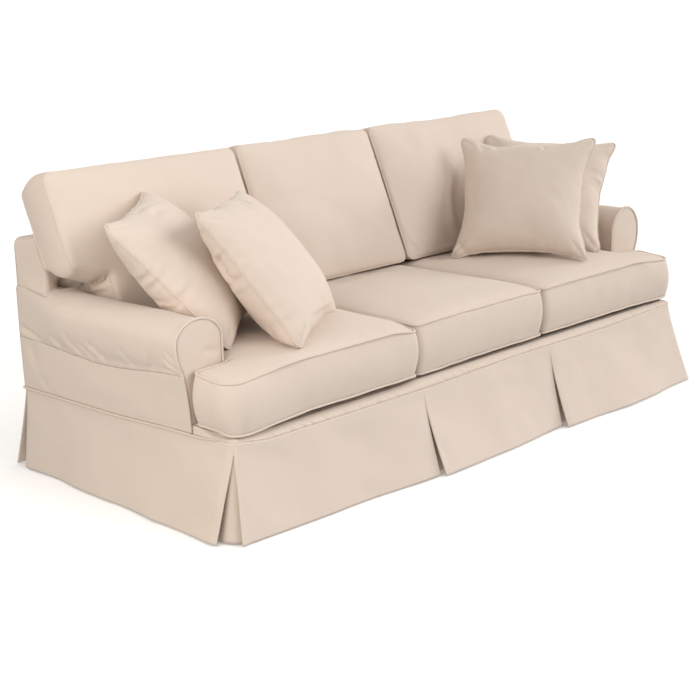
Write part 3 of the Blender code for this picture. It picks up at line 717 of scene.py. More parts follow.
def outside_back():
    pad = 0.004
    top = BACK_TOP_REAR
    corner = back_corner(top)
    foot = float(along(SIDE_SEAM, BASE_BACK)) + GAP
    z = np.unique(np.concatenate([np.linspace(foot, top - BACK_ROUND, 52), corner[:, 1]]))[:, None]
    halves = []
    for arm in ARMS:
        section = arm_section(arm, BASE_BACK, 200)
        end = section[section[:, 0] >= BACK_SIDE]
        end = end[: end[:, 1].argmax() + 1]
        side = [[(half_at(BASE_BACK), foot)], end, [(BACK_SIDE, end[-1, 1] + GAP)], corner]
        half, height = np.concatenate(side).T
        halves.append(np.interp(z, height, half))
    across = np.linspace(1, -1, 130)
    x = np.where(across < 0, *halves) * across
    share = np.clip((z - foot) / (top - foot), 0, 1)
    full = (1 - np.abs(across) ** 6) * np.sin(math.pi * share) ** 0.6
    net = grid_net(x, BASE_BACK + pad * full, z, (-x, z))
    rumpled(net, 0.004, 0.20, 51, full)
    show_sheet("outside_back", net)


def back_boxing():
    """The strip up one side of the back, over its top and down the other side. Low down it curves
    out onto each arm's roll."""
    rear = BASE_BACK - CLOTH - GAP
    left, right = (np.concatenate([[(BACK_SIDE, shoulder(arm, 3 * GAP))],
                                   back_corner(BACK_TOP_REAR, 90)]) for arm in ARMS)
    path = resampled(np.concatenate([left * (-1, 1), right[::-1]]), 320)
    v = np.linspace(0, 1, 20)[:, None]
    halves = []
    for arm in ARMS:
        across, low = path[np.sign(path[:, 0] + 1e-9) == arm.side].T
        start = shoulder(arm)
        rise = smooth((low - start) / (BACK_TOP_REAR - start))
        high = low + rise * (BACK_TOP_FRONT - BACK_TOP_REAR)
        _, drop = flared(arm, high, back_plane_y(high))
        y = between(back_plane_y(high + drop) + CLOTH, rear, v)
        height = between(high, low, v)
        spread, drop = flared(arm, height, y)
        halves.append((across + arm.side * spread, y, height + drop))
    net = grid_net(*(np.concatenate(both, 1) for both in zip(*halves)))
    keep = smooth(np.minimum(v, 1 - v) / 0.2) * smooth(lengths(path) / 0.05)
    rumpled(net, 0.0026, 0.10, 61, keep)
    show_sheet("back_boxing", net)


def inside_back():
    """The sloping panel behind the cushions: between the arms below, as wide as the back above. Its
    rows climb over each arm's roll."""
    inner = ARM_AXIS_X - ROLL_HALF - GAP
    quarter = np.linspace(0.1, math.pi / 2, 10)
    corner = back_corner(BACK_TOP_FRONT)
    across = np.linspace(-1, 1, 150)
    half = np.concatenate([np.full(30, inner), ARM_AXIS_X - (ROLL_HALF + GAP) * np.cos(quarter),
                           np.full(18, BACK_SIDE), corner[1:, 0]])
    x = half[:, None] * across
    rows = []
    for arm in ARMS:
        top = arm.top + 2 * GAP
        rows.append(np.concatenate([
            np.linspace(DECK_TOP + GAP, ARM_AXIS_Z, 30),
            ARM_AXIS_Z + (top - ARM_AXIS_Z) * np.sin(quarter),
            np.linspace(top + GAP, corner[0, 1], 18), corner[1:, 1]])[:, None])
    z = between(*rows, (across + 1) / 2)
    reach = BACK_SIDE - ARM_AXIS_X
    for arm, row in zip(ARMS, rows):
        past = np.clip(arm.side * x - ARM_AXIS_X, 0, reach)
        dip = (arm.top - ARM_AXIS_Z) * (1 - np.sqrt(1 - (past / ROLL_HALF) ** 2))
        z = z - dip * (1 - smooth((row - arm.top) / 0.03))
        spread, drop = flared(arm, z, back_plane_y(z))
        x = x + arm.side * spread * past / reach
        z = z + drop * (past / reach) ** 2
    net = grid_net(x, back_plane_y(z), z, (x, z * math.hypot(1, BACK_RISE)))
    keep = np.broadcast_to(smooth((1 - np.abs(across)) / 0.1), x.shape)
    rumpled(net, 0.002, 0.12, 71, keep)
    show_sheet("inside_back", net)


def deck_sag(x):
    return DECK_SAG + LEFT_SAG * smooth((-0.28 - x) / 0.12) * smooth((x + 1.02) / 0.12)


def deck():
    """The panel under the cushions: rows across, wider in front of the arms. It sinks along its
    front, and more behind that."""
    sag_length, trough_start, trough_end = 0.07, 0.022, 0.06
    inner = ARM_AXIS_X - ROLL_HALF - GAP
    front = BASE_FRONT + CLOTH + GAP
    turn = arc((HALF_FRONT - CORNER, BASE_FRONT + CORNER), CORNER - CLOTH, -80, 0, 8)
    wide_to = min(arm.front for arm in ARMS) - GAP
    wide = np.linspace(BASE_FRONT + CORNER, wide_to, 16)[1:]
    narrow = np.linspace(wide_to + 0.001, BACK_FOOT_Y - GAP, 26)
    y = np.concatenate([[front], turn[:, 1], wide, narrow])
    half = np.concatenate([[HALF_FRONT - CORNER], turn[:, 0], half_at(wide) - CLOTH,
                           np.full(len(narrow), inner)])
    y += RAIL_LEAN * (1 - smooth((y - front) / 0.08))
    half = np.where(y < wide_to, half - 0.013, half)
    x, y = half[:, None] * np.linspace(-1, 1, 72), y[:, None]
    behind = y - y[0]
    trough = smooth(behind / trough_start) * (1 - smooth((behind - sag_length) / trough_end))
    z = DECK_TOP - deck_sag(x) * (1 - smooth(behind / sag_length))
    z -= DECK_TROUGH * trough * (1 - smooth((np.abs(x) - 0.985) / 0.04))
    show_sheet("deck", grid_net(x, y, z, (x, y)))


def base_path():
    """Plan points round the front of the base, from one facing to the other."""
    turn = arc((HALF_FRONT - CORNER, BASE_FRONT + CORNER), CORNER, -90, 0, 10)
    left, right = (np.concatenate([turn, [(half_at(arm.front), arm.front - GAP)]]) for arm in ARMS)
    return np.concatenate([left[::-1] * (-1, 1), right])


def seam_height(x, y):
    return np.where(y <= BASE_FRONT + CORNER, along(FRONT_SEAM, x), along(SIDE_SEAM, y))


def front_rail():
    """The strip between the deck and the skirt, drawn up in slanting puckers and rounding back to
    the deck."""
    path = resampled(base_path(), 640)
    at = lengths(path)
    from_arm = smooth(np.minimum(at, at[-1] - at) / 0.10)
    v = np.linspace(0, 1, 13)[:, None]
    lean = RAIL_LEAN * (1 - np.sqrt(1 - v**2)) * from_arm
    tuck = 0.0026 * (1 - smooth(v / 0.12))  # the foot goes in behind the skirt
    x, y = (place - right * (lean + tuck) for place, right in zip(path.T, to_right(path).T))
    high = DECK_TOP - GAP - deck_sag(path[:, 0]) * from_arm
    z = between(seam_height(*path.T) + GAP, high, v)
    z[0] -= 0.004
    net = grid_net(x, y, z)
    slant = at + 0.030 * v
    strong = 0.35 + 0.65 * smooth(grid_noise(slant, 0, 0, 0.13, 83) + 0.5)
    ripple = grid_noise(slant, 0, 0.006 * v, 0.011, 81)
    ripple += 0.6 * grid_noise(slant, 0, 0.006 * v, 0.007, 82)
    net.rise(0.0020 * strong * ripple * np.sin(math.pi * (0.08 + 0.84 * v)) * from_arm)
    show_sheet("front_rail", net)


# ---- the skirt ----


def corner_inset(past):
    """How far the round of the base's corner lies inside its square corner."""
    past = np.clip(past, 0, CORNER)
    return CORNER - np.sqrt(CORNER**2 - past**2)


def on_side(side, run, seam, out, corner=1.0):
    """Plan place of points on one side of the base, at a distance out from it. corner is how much
    of the rounding of the base's corner they follow."""
    if side == "front":
        return run, BASE_FRONT - out + corner * corner_inset(np.abs(seam) - HALF_FRONT + CORNER)
    if side == "back":
        return run, BASE_BACK + out
    inset = corner * corner_inset(BASE_FRONT + CORNER - seam)
    return (half_at(seam) + out - inset) * (1 if side == "right" else -1), run


def fold_back(points, inward):
    """Places for the fold at the last column of a grid of places, and a little way behind it."""
    radius = 0.0025
    away = units(points[:, -1] - points[:, -2])
    turn = [points[:, -1] + radius * (math.sin(angle) * away + (1 - math.cos(angle)) * inward)
            for angle in np.radians((35, 70, 105, 140, 175))]
    behind = [points[:, -1 - back] + 2 * radius * inward for back in (1, 2, 4)]
    return np.stack(turn + behind, 1)


INWARD = {"front": (0, 1, 0), "back": (0, -1, 0), "left": (1, 0, 0), "right": (-1, 0, 0)}


def skirt_panel(panel):
    """A hanging panel that flares to its hem, with soft waves. Its ends are folds that run back a
    little way behind it."""
    wave = 0.004
    step = STEP * (1.6 if panel.side == "back" else 1.0)
    width = panel.seam[1] - panel.seam[0]
    u, v = shares(round(width / step), 44)
    if panel.side in ("left", "back"):
        u = u[:, ::-1]
    drop = 1 - v
    at_seam = between(*panel.seam, u)
    closed = np.interp(at_seam, (-0.3, 0.31), (0.05, 0.13)) if panel.side == "front" else 0.04
    opened = np.clip((drop - closed) / (1 - closed), 0, 1)
    run = between(at_seam, between(*panel.hem, u), opened)
    flare = along(tuple(zip((0, 0.5, 1), panel.out)), u)
    to_end = np.minimum(u, 1 - u) * width
    out = flare * drop**1.25 + wave * np.sin(5 * math.pi * u) * drop * v
    x, y = on_side(panel.side, run, at_seam, out, 1 - smooth(drop / 0.6))
    top = seam_height(*on_side(panel.side, at_seam, at_seam, 0)) - GAP
    points = np.stack([x, y, between(HEM, top, v)], -1)
    inward = np.array(INWARD[panel.side], float)
    start, end = fold_back(points[:, ::-1], inward)[:, ::-1], fold_back(points, inward)
    net = grid_net(*np.concatenate([start, points, end], 1).transpose(2, 0, 1))
    keep = smooth(to_end / 0.02) * smooth(drop / 0.2)
    keep = np.pad(keep, ((0, 0), (start.shape[1], end.shape[1])))
    rumpled(net, 0.0055, 0.15, panel.seed, keep)
    show_sheet("skirt_" + panel.name, net)


def pleat_underlay(name, middle, seed):
    """The piece behind a pleat of the front."""
    half_width, hem_out = 0.105, 0.046
    behind = CLOTH + 2 * GAP
    u, v = shares(28, 30)
    x = middle + half_width * (2 * u - 1)
    out = (hem_out + behind) * (1 - v) ** 1.25 - behind
    net = grid_net(x, BASE_FRONT - out, between(HEM, along(FRONT_SEAM, x) - GAP, v))
    rumpled(net, 0.0015, 0.07, seed, smooth((1 - v) / 0.3))
    show_sheet(name, net)


def corner_underlay(name, x_side, y_side):
    """The piece behind the pleat at a corner of the base, bent round it."""
    at_front = y_side < 0
    behind = CLOTH + (3 * GAP if at_front else GAP)
    reach = 0.13
    half = (HALF_FRONT if at_front else HALF_BACK) - behind
    end = BASE_FRONT + behind if at_front else BASE_BACK - behind
    radius = CORNER - behind if at_front else 0.012
    centre = np.array((half - radius, end - y_side * radius))
    turn = arc(centre, radius, 90, 0, 10)
    turn[:, 1] = centre[1] + y_side * (turn[:, 1] - centre[1])
    far = end - y_side * reach
    path = np.concatenate([[(half - reach, end)], turn, [(half_at(far) - behind, far)]])
    way = x_side * y_side
    path = resampled(path, 40)[::way]
    v = np.linspace(0, 1, 26)[:, None]
    hem_out = 0.040 if at_front else 0.022
    from_middle = np.abs(np.linspace(-1, 1, len(path)))
    flare = hem_out * v**1.25 * (1 - 0.45 * from_middle)
    x, y = (place + way * right * flare for place, right in zip(path.T, to_right(path).T))
    x = x_side * x
    top = seam_height(x, np.minimum(y, BASE_FRONT + CORNER)) if at_front else along(SIDE_SEAM, y)
    show_sheet(name, grid_net(x, y, between(top - GAP, HEM, v)))


def skirt_welt():
    """The welt round the sides and the back. It thins away towards the front corners."""
    thinnest, thin_until = 0.35, -0.42
    out = WELT + GAP
    side = np.linspace(-0.40, BASE_BACK, 150)[:-1]
    half = np.concatenate([np.stack([half_at(side) + out, side], 1),
                           arc((HALF_BACK, BASE_BACK), out, 0, 90, 4)])
    x, y = resampled(np.concatenate([half, half[::-1] * (-1, 1)]), 700).T
    full = smooth((y - thin_until) / 0.10)
    line = np.stack([x - np.sign(x) * 0.003 * (1 - full), y, along(SIDE_SEAM, y)], 1)
    show_cord("skirt_welt", line, False, 111, WELT * between(thinnest, 1.0, full))


# ---- cushions ----

TINY = 1e-6


def plan_lines(marks):
    """Lines through all the marks, and evenly spaced between them."""
    lines = [marks[0]]
    for start, end in zip(marks, marks[1:]):
        count = max(1, round((end - start) / (STEP * 1.25)))
        lines += [between(start, end, (i + 1) / count) for i in range(count)]
    return np.array(lines)


def rim_order(quads):
    """Corner numbers round the outline, anticlockwise."""
    ends = np.concatenate([quads[:, [i, (i + 1) % 4]] for i in range(4)])
    known = {(a, b) for a, b in ends.tolist()}
    following = {a: b for a, b in known if (b, a) not in known}
    start = min(following)
    rim = [start]
    while following[rim[-1]] != start:
        rim.append(following[rim[-1]])
    return np.array(rim)


def distance_to(points, line):
    """How far each plan place is from a closed outline, and how far along it its nearest lies."""
    best = np.full(len(points), np.inf)
    place = np.zeros(len(points))
    at = 0.0
    for start, end in zip(line, np.roll(line, -1, 0)):
        share, apart = beside(points, start, end)
        distance = np.linalg.norm(apart, axis=1)
        closer = distance < best
        best = np.where(closer, distance, best)
        length = np.linalg.norm(end - start)
        place = np.where(closer, at + share * length, place)
        at += length
    return best, place


def swelling(here):
    """How high a filled cloth over this plan stands at each place, from 0 at its rim to 1: the
    shape of a skin under even pressure."""
    wide = np.pad(here, 1)
    inner = here.copy()
    for down, right in np.ndindex(3, 3):
        inner &= wide[down : down + here.shape[0], right : right + here.shape[1]]
    height = np.zeros(here.shape)
    for _ in range(4000):
        wide = np.pad(height, 1)
        around = wide[:-2, 1:-1] + wide[2:, 1:-1] + wide[1:-1, :-2] + wide[1:-1, 2:]
        height = np.where(inner, around / 4 + 1e-3, 0)
    return height / height.max()


def round_off(x, y, corner, inward, radius):
    """Moves the places near a corner of a plan onto the arc that rounds it."""
    past_x = radius - (x - corner[0]) * inward[0]
    past_y = radius - (y - corner[1]) * inward[1]
    inside = np.minimum(past_x, past_y) > TINY
    reach = np.where(inside, np.hypot(past_x, past_y), 1)
    scale = np.maximum(past_x, past_y) / reach
    new_x = corner[0] + inward[0] * (radius - past_x * scale)
    new_y = corner[1] + inward[1] * (radius - past_y * scale)
    return np.where(inside, new_x, x), np.where(inside, new_y, y)


def ear_of(ends):
    """The end of a cushion that reaches out past its arm, and which side that is."""
    for end in ends:
        if abs(end) > SEAT_IN_ARM:
            return end, math.copysign(1, end)
    return None, 0


class Boxed:
    """A boxed cushion: two faces over one plan, and a strip round its side with a welt at each
    edge. place(plan, level, swell, out) gives the corners, with level 0 and 1 at the two faces. out
    points away from the plan's rim along the strip, and is 0 on the faces."""

    def __init__(self, ends, y_marks, rounded, is_cut_out, rows, place):
        ear, side = ear_of(ends)
        x_marks = {*ends, *(corner[0] + inward[0] * radius for corner, inward, radius in rounded)}
        x_marks |= {side * SEAT_IN_ARM} if ear else set()
        x, y = np.meshgrid(plan_lines(sorted(x_marks)), plan_lines(y_marks))
        here = ~is_cut_out(x, y)
        swell = swelling(here)[here]
        index = np.full(here.shape, -1)
        index[here] = np.arange(len(swell))
        for corner in rounded:
            x, y = round_off(x, y, *corner)
        flat = np.stack([x, y], -1)
        self.plan = flat[here]
        probe = Net()
        probe.add_faces(index, flat)
        self.rim = rim_order(probe.quads)
        rim_plan = self.plan[self.rim]
        self.inside, self.rim_place = distance_to(self.plan, rim_plan)
        ahead = units(np.roll(rim_plan, -2, 0) - np.roll(rim_plan, 2, 0))
        out = np.stack([ahead[:, 1], -ahead[:, 0]], 1)

        self.net = net = Net()
        self.low, self.high = (
            net.add_points(place(self.plan, np.full(len(swell), level), swell, 0 * self.plan))
            for level in (0.0, 1.0))
        for numbers, turned in ((self.low, True), (self.high, False)):
            net.add_faces(np.where(index < 0, -1, numbers[index]), flat, turned)
        none = np.zeros(len(self.rim))
        strip = [net.add_points(place(rim_plan, none + row / rows, none, out))
                 for row in range(1, rows)]
        self.strip = np.array([self.low[self.rim], *strip, self.high[self.rim]])
        around = lengths(np.concatenate([rim_plan, rim_plan[:1]]))
        height = np.linalg.norm(net.points[self.strip[-1, 0]] - net.points[self.strip[0, 0]])
        u, v = np.meshgrid(around, np.linspace(0, height, rows + 1))
        net.add_faces(np.concatenate([self.strip, self.strip[:, :1]], 1), np.stack([u, v], -1))
        self.around = around[:-1]

    def puckered(self, depth, reach, size, seed):
        """Small puckers across the seams, which fade away from them."""
        rise = np.zeros(len(self.net.points))
        fade = depth * np.exp(-self.inside / reach) * smooth(self.inside / 0.004)
        for k, numbers in enumerate((self.low, self.high)):
            noise = grid_noise(self.rim_place, self.inside * 0.3, 0.1 * k, size, seed + k)
            rise[numbers] += fade * noise
        levels = np.linspace(0, 1, len(self.strip))[1:-1]
        for level, numbers in zip(levels, self.strip[1:-1]):
            apart = 0.05 if level < 0.5 else 0.15
            fade = depth * math.exp(-min(level, 1 - level) * 0.14 / reach)
            rise[numbers] += fade * grid_noise(self.around, 0.02 * level, apart, size, seed + 5)
        patchy = 0.45 + 0.55 * lattice_noise(self.net.points, 0.09, seed + 9)
        self.net.rise(np.clip(patchy, 0.1, 1) * rise)

    def still_rims(self, low_keep, high_keep):
        """How much unevenness each point takes: none at the seams."""
        keep = np.ones(len(self.net.points))
        keep[self.low] = low_keep * smooth(self.inside / 0.03)
        keep[self.high] = high_keep * smooth(self.inside / 0.03)
        keep[self.strip[[0, -1]]] = 0
        return keep

    def show_welt(self, name, which, wobble, seed, cord_seed):
        """A welt just outside the seam at one of the faces."""
        numbers = (self.low, self.high)[which][self.rim]
        line = self.net.points[numbers] + self.net.normals()[numbers] * (WELT * 0.55)
        line += wobble * np.stack([lattice_noise(line, 0.05, seed + i) for i in range(3)], 1)
        show_cord(name, line, True, cord_seed)


MEETING = SEAM_HALF + CUSHION_SIDE
MIDDLE_HALF = SEAM_HALF - CUSHION_SIDE
SEAT_BACK = 0.192
Seat = namedtuple("Seat", "name ends front facing crown slump droop")
SEATS = (
    Seat("left", (-1.036, -MEETING), -0.453, ARMS[0].front, 0.032, 0.011, 0.014),
    Seat("middle", (-MIDDLE_HALF, MIDDLE_HALF), -0.440, ARMS[0].front, 0.038, 0.004, 0.003),
    Seat("right", (MEETING, 1.066), -0.436, ARMS[1].front, 0.042, 0.004, 0.003),
)
MEETING_ROUND = 0.020


def seat_cushion(seat, seed):
    """Thick along its front, and thin behind, where the back cushion rests on it. An ear runs in
    front of each arm."""
    name, ends = "seat_cushion_" + seat.name, seat.ends
    ear, side = ear_of(ends)
    notch = seat.facing - EAR_BEHIND
    ear_droops, corner_droops, slumps = 0.25, 0.11, 0.30  # how far each reaches along the cushion
    least_bulge, most_bulge = 0.005, 0.013
    rounded = []
    for corner, inward in zip(ends, (1, -1)):
        if corner != ear:
            rounded.append(((corner, seat.front), (inward, 1), MEETING_ROUND))
            rounded.append(((corner, SEAT_BACK), (inward, -1), MEETING_ROUND))
    if ear:
        rounded.append(((ear, seat.front), (-side, 1), EAR_ROUND))
        rounded.append(((ear, notch), (-side, -1), NOTCH_ROUND))
    y_marks = (seat.front, seat.front + MEETING_ROUND, seat.front + EAR_ROUND, notch - NOTCH_ROUND,
               notch, SEAT_BACK - MEETING_ROUND, SEAT_BACK)

    def is_cut_out(x, y):
        return (np.abs(x) > SEAT_IN_ARM + TINY) & (y > notch + TINY)

    def place(plan, level, swell, out):
        x, y = plan.T
        ahead = y - seat.front
        droop = EAR_DROOP * (1 - smooth(np.hypot(x - ear, ahead) / ear_droops)) if ear else 0.0
        inner = np.min([np.abs(x - end) for end in ends if end != ear], 0)
        droop = droop + seat.droop * (1 - smooth(np.hypot(inner, ahead) / corner_droops))
        top = seat.crown * swell**0.55
        top = between(top, np.minimum(top, SEAT_REST), smooth((y - 0.02) / 0.07))
        high = SEAT_EDGE_HIGH + top - droop
        corner = np.hypot(x - (ear or ends[0]), ahead)
        slump = seat.slump * (1 - smooth(corner / slumps)) * smooth((-0.40 - y) / 0.03)
        low = SEAT_EDGE_LOW - 0.0075 * smooth((swell - 0.16) / 0.14) - slump
        outer = np.abs(out[:, 0]) * (side * out[:, 0] > 0)
        full = smooth((-0.10 - y) / 0.2) * np.maximum(-out[:, 1], outer)
        bulge = between(least_bulge, most_bulge, full) * np.sin(math.pi * level) ** 0.8
        pushed = 0.9 * slump * (1 - level)
        return np.stack([x + bulge * out[:, 0], y + bulge * out[:, 1] - pushed,
                         between(low, high, level)], 1)

    made = Boxed(ends, y_marks, rounded, is_cut_out, 24, place)
    made.puckered(0.0016, 0.014, 0.015, seed)
    rumpled(made.net, 0.0040, 0.14, seed + 20, made.still_rims(0, 1))
    piece = show(name, made.net)
    made.show_welt(name + "_welt_top", 1, 0.0008, seed + 40, seed)
    made.show_welt(name + "_welt_bottom", 0, 0.0012, seed + 50, seed)


def back_cushion(name, ends, seed):
    """A leaning cushion, whose ear lies over the arm beside it."""
    ear, side = ear_of(ends)
    front_low, rear_low = np.array(BACK_FRONT_FOOT), np.array(BACK_REAR_FOOT)
    front_rise, rear_rise = BACK_FRONT_TOP - front_low, BACK_REAR_TOP - rear_low
    forward = np.array(BACK_FORWARD)
    upward = front_rise / np.linalg.norm(front_rise)
    ear_from = BACK_EAR_SHARE * BACK_LENGTH
    crown = 0.046
    ear_round, ear_top_round, corner_round = 0.020, 0.030, 0.024
    meeting_bulge, side_bulge, top_bulge, foot_bulge, ear_bulge = 0.005, 0.012, 0.014, 0.006, 0.028
    notch_slump = 0.034
    rounded = []
    for corner, inward in zip(ends, (1, -1)):
        radius = ear_top_round if corner == ear else corner_round
        rounded.append(((corner, BACK_LENGTH), (inward, -1), radius))
        if corner != ear:
            rounded.append(((corner, 0), (inward, 1), corner_round))
    if ear:
        rounded.append(((ear, ear_from), (-side, 1), ear_round))
    h_marks = (0, corner_round, ear_from, ear_from + ear_round, BACK_LENGTH - ear_top_round,
               BACK_LENGTH - corner_round, BACK_LENGTH)

    def is_cut_out(x, h):
        return (np.abs(x) > SEAT_IN_ARM + TINY) & (h < ear_from - TINY)

    def place(plan, level, swell, out):
        x, h = plan.T
        share = (h / BACK_LENGTH)[:, None]
        front = front_low + front_rise * share
        rear = rear_low + rear_rise * share
        at = between(front, rear, level[:, None])
        at = at + forward * (crown * swell**0.52 * (1 - level))[:, None]
        bulge = np.sin(math.pi * level) ** 0.8
        to_neighbour = (np.abs(x) < 0.5) & (np.abs(out[:, 0]) > 0.5)
        across = np.where(to_neighbour, meeting_bulge, side_bulge) * bulge * out[:, 0]
        in_ear = smooth((np.abs(x) - SEAT_IN_ARM + 0.02) / 0.03) * (h < ear_from + 0.05)
        below = between(foot_bulge, ear_bulge, in_ear)
        along_up = np.where(out[:, 1] > 0, top_bulge, below) * bulge * out[:, 1]
        to_notch = (1 - smooth(np.abs(np.abs(x) - SEAT_IN_ARM) / 0.11)) * (x * side > 0)
        slump = notch_slump * to_notch * (1 - smooth(np.abs(h - ear_from) / 0.16))
        at = at + upward * (along_up - slump)[:, None]
        return np.stack([x + across, at[:, 0], np.maximum(at[:, 1], BACK_FLOOR)], 1)

    made = Boxed(ends, h_marks, rounded, is_cut_out, 26, place)
    made.puckered(0.0016, 0.016, 0.016, seed)
    rumpled(made.net, 0.0065, 0.17, seed + 20, made.still_rims(1, 0))
    piece = show(name, made.net)
    made.show_welt(name + "_welt_front", 0, 0.0010, seed + 40, seed)
    made.show_welt(name + "_welt_rear", 1, 0.0010, seed + 50, seed)


# ---- pillows ----

# Each pillow: its turn about Z, then about its own X (lean) and Y (roll), degrees, and how far its
# sides draw in and its ears stand out
Pillow = namedtuple("Pillow", "name turn lean roll shift size drawn_in ear_out seed")
PILLOWS = (
    Pillow("pillow_left_rear", 34.0, -43.0, -4.6, (-0.009, 0, 0.002), 1.02, 0.060, 0.018, 201),
    Pillow("pillow_left_front", 32.8, -37.6, 0.3, (-0.006, 0, -0.003), 1.0, 0.055, 0.021, 211),
    Pillow("pillow_right_rear", -59.5, -44.5, 4.0, (-0.018, 0, 0.007), 1.03, 0.100, 0.026, 221),
    Pillow("pillow_right_front", -58.5, -35.8, 0.1, (-0.012, 0, 0), 1.0, 0.120, 0.030, 231),
)
PILLOW_COUNT = 97  # points along each side of a pillow's face
PILLOW_SWELL = swelling(np.ones((PILLOW_COUNT, PILLOW_COUNT), bool)) ** 0.56
PILLOW_WELT = 0.0026
SETTLED_FRAMES = 22
SETTLED_SHARE = 0.12  # how much of a pillow's shape comes from its simulation


def settled(net, frames, seed):
    """Fills the net like a closed bag by a short cloth simulation, and returns its points."""
    start = net.points + 0.0004 * np.random.default_rng(seed).normal(size=net.points.shape)
    mesh = new_mesh("bag", start, net.quads)
    filled = new_object("bag", mesh)
    scene = bpy.context.scene
    cloth = filled.modifiers.new("cloth", "CLOTH")
    settings = cloth.settings
    settings.quality = 7
    settings.mass = 0.25
    settings.tension_stiffness = settings.compression_stiffness = 30
    settings.shear_stiffness = 6
    settings.bending_stiffness = 1.5
    settings.use_pressure = True
    settings.uniform_pressure_force = 4.0
    settings.effector_weights.gravity = 0
    cloth.point_cache.frame_start, cloth.point_cache.frame_end = 1, frames
    for number in range(1, frames + 1):
        scene.frame_set(number)
    shaped = filled.evaluated_get(bpy.context.evaluated_depsgraph_get()).to_mesh()
    points = np.empty(len(shaped.vertices) * 3, np.float32)
    shaped.vertices.foreach_get("co", points)
    bpy.data.objects.remove(filled)
    bpy.data.meshes.remove(mesh)
    scene.frame_set(1)
    return points.reshape(-1, 3).astype(float)


def doubled(grid):
    """A grid of places with one more, on a smooth curve, between each two."""
    for _ in range(2):
        wide = np.concatenate([2 * grid[:1] - grid[1:2], grid, 2 * grid[-1:] - grid[-2:-1]])
        halfway = (9 * (wide[1:-2] + wide[2:-1]) - wide[:-3] - wide[3:]) / 16
        finer = np.empty((2 * len(grid) - 1, *grid.shape[1:]))
        finer[::2], finer[1::2] = grid, halfway
        grid = finer.swapaxes(0, 1)
    return grid


def bag(front, rear, flat):
    """A net of two square sheets joined round their rim, with the corner numbers of the front, of
    the rear and of the rim."""
    net = Net()
    low = net.add_points(front).reshape(front.shape[:2])
    high = low.copy()
    high[1:-1, 1:-1] = net.add_points(rear[1:-1, 1:-1]).reshape(high[1:-1, 1:-1].shape)
    net.add_faces(low, flat)
    net.add_faces(high, flat, turned=True)
    rim = np.concatenate([low[0, :-1], low[:-1, -1], low[-1, :0:-1], low[:0:-1, 0]])
    return net, low, high, rim


def pillow_sheets(drawn_in, ear_out, seed):
    """The flat places of a pillow's face, and the shaped front and rear faces: nearly straight
    sides, flat ears at the corners, and a little more fill below and behind."""
    corner_round, ear_size = 0.056, 0.030
    cut_larger = 1.06  # filling draws the cloth in from the size it was cut to
    lines = np.linspace(-1, 1, PILLOW_COUNT)
    half = PILLOW_SIDE / 2
    x, z = np.meshgrid(lines * half, lines * half)
    for right, up in ((1, 1), (1, -1), (-1, 1), (-1, -1)):
        x, z = round_off(x, z, (right * half, up * half), (-right, -up), corner_round)
    flat = cut_larger * np.stack([x, z], -1)
    u, v = x / half, z / half
    uneven = [1 + 0.3 * grid_noise(u * half, v * half, 0, 0.10, seed + i) for i in (0, 1)]
    ear = ear_out * np.exp(-((1 - np.abs(u)) ** 2 + (1 - np.abs(v)) ** 2) / ear_size)
    x = x * (1 - drawn_in * uneven[0] * (1 - np.abs(v) ** 3)) + np.sign(u) * ear
    z = z * (1 - drawn_in * uneven[1] * (1 - np.abs(u) ** 3)) + np.sign(v) * ear
    thick = PILLOW_THICK / 2 * PILLOW_SWELL
    front = np.stack([x, -thick * (1 - 0.12 * v), z], -1)
    rear = np.stack([x, thick * (1 - 0.22 * v) * (1 - 0.22 * u), z], -1)
    return flat, front, rear


def pillow(item):
    pucker_height, pucker_length = 0.0060, 0.028
    flat, front, rear = pillow_sheets(item.drawn_in, item.ear_out, item.seed)
    start = np.stack([flat[..., 0], 0.4 * front[..., 1], flat[..., 1]], -1)[::2, ::2]
    net, low, high, _ = bag(start, start * (1, -1, 1), flat[::2, ::2])
    points = settled(net, SETTLED_FRAMES, item.seed)
    points -= (points.max(0) + points.min(0)) / 2
    size = points.max(0) - points.min(0)
    points *= (PILLOW_SIDE / size[0], PILLOW_THICK / size[1], PILLOW_SIDE / size[2])
    front = between(front, doubled(points[low]), SETTLED_SHARE)
    rear = between(rear, doubled(points[high]), SETTLED_SHARE)
    net, _, _, rim = bag(front, rear, flat)
    to_rim, rim_place = distance_to(net.points[:, [0, 2]], net.points[rim][:, [0, 2]])
    place = rim_place, 0.35 * to_rim, 0.1 * np.sign(net.points[:, 1])
    patchy = np.clip(0.35 + 0.9 * grid_noise(*place, 0.08, item.seed + 7), 0.05, 1)
    pucker = patchy * np.exp(-to_rim / pucker_length) * smooth(to_rim / 0.004)
    net.rise(pucker_height * pucker * grid_noise(*place, 0.019, item.seed + 8))
    rumpled(net, 0.0045, 0.10, item.seed, smooth(to_rim / 0.05))
    low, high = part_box(item.name)
    turn, lean, roll = np.radians((item.turn, item.lean, item.roll)).tolist()
    pose = np.array(Matrix.Translation((low + high) / 2 + Vector(item.shift))
                    @ rotation(turn, "Z") @ rotation(lean, "X") @ rotation(roll, "Y"))
    net.points = item.size * net.points @ pose[:3, :3].T + pose[:3, 3]
    piece = show(item.name, net)
    show_cord(item.name + "_welt", net.points[rim], True, item.seed, PILLOW_WELT)


# ---- the room ----


def camera():
    """The view of the set from its front left, a little above it."""
    yaw, pitch, roll = 0.8032, -0.255, -0.0233
    data = bpy.data.cameras.new("camera")
    data.lens = 76.415
    data.sensor_width = 36
    made = new_object("camera", data)
    made.matrix_world = (Matrix.Translation((-3.4295, -3.1902, 1.4518)) @ rotation(-yaw, "Z")
                         @ rotation(math.pi / 2 + pitch, "X") @ rotation(roll, "Z"))
    bpy.context.scene.camera = made


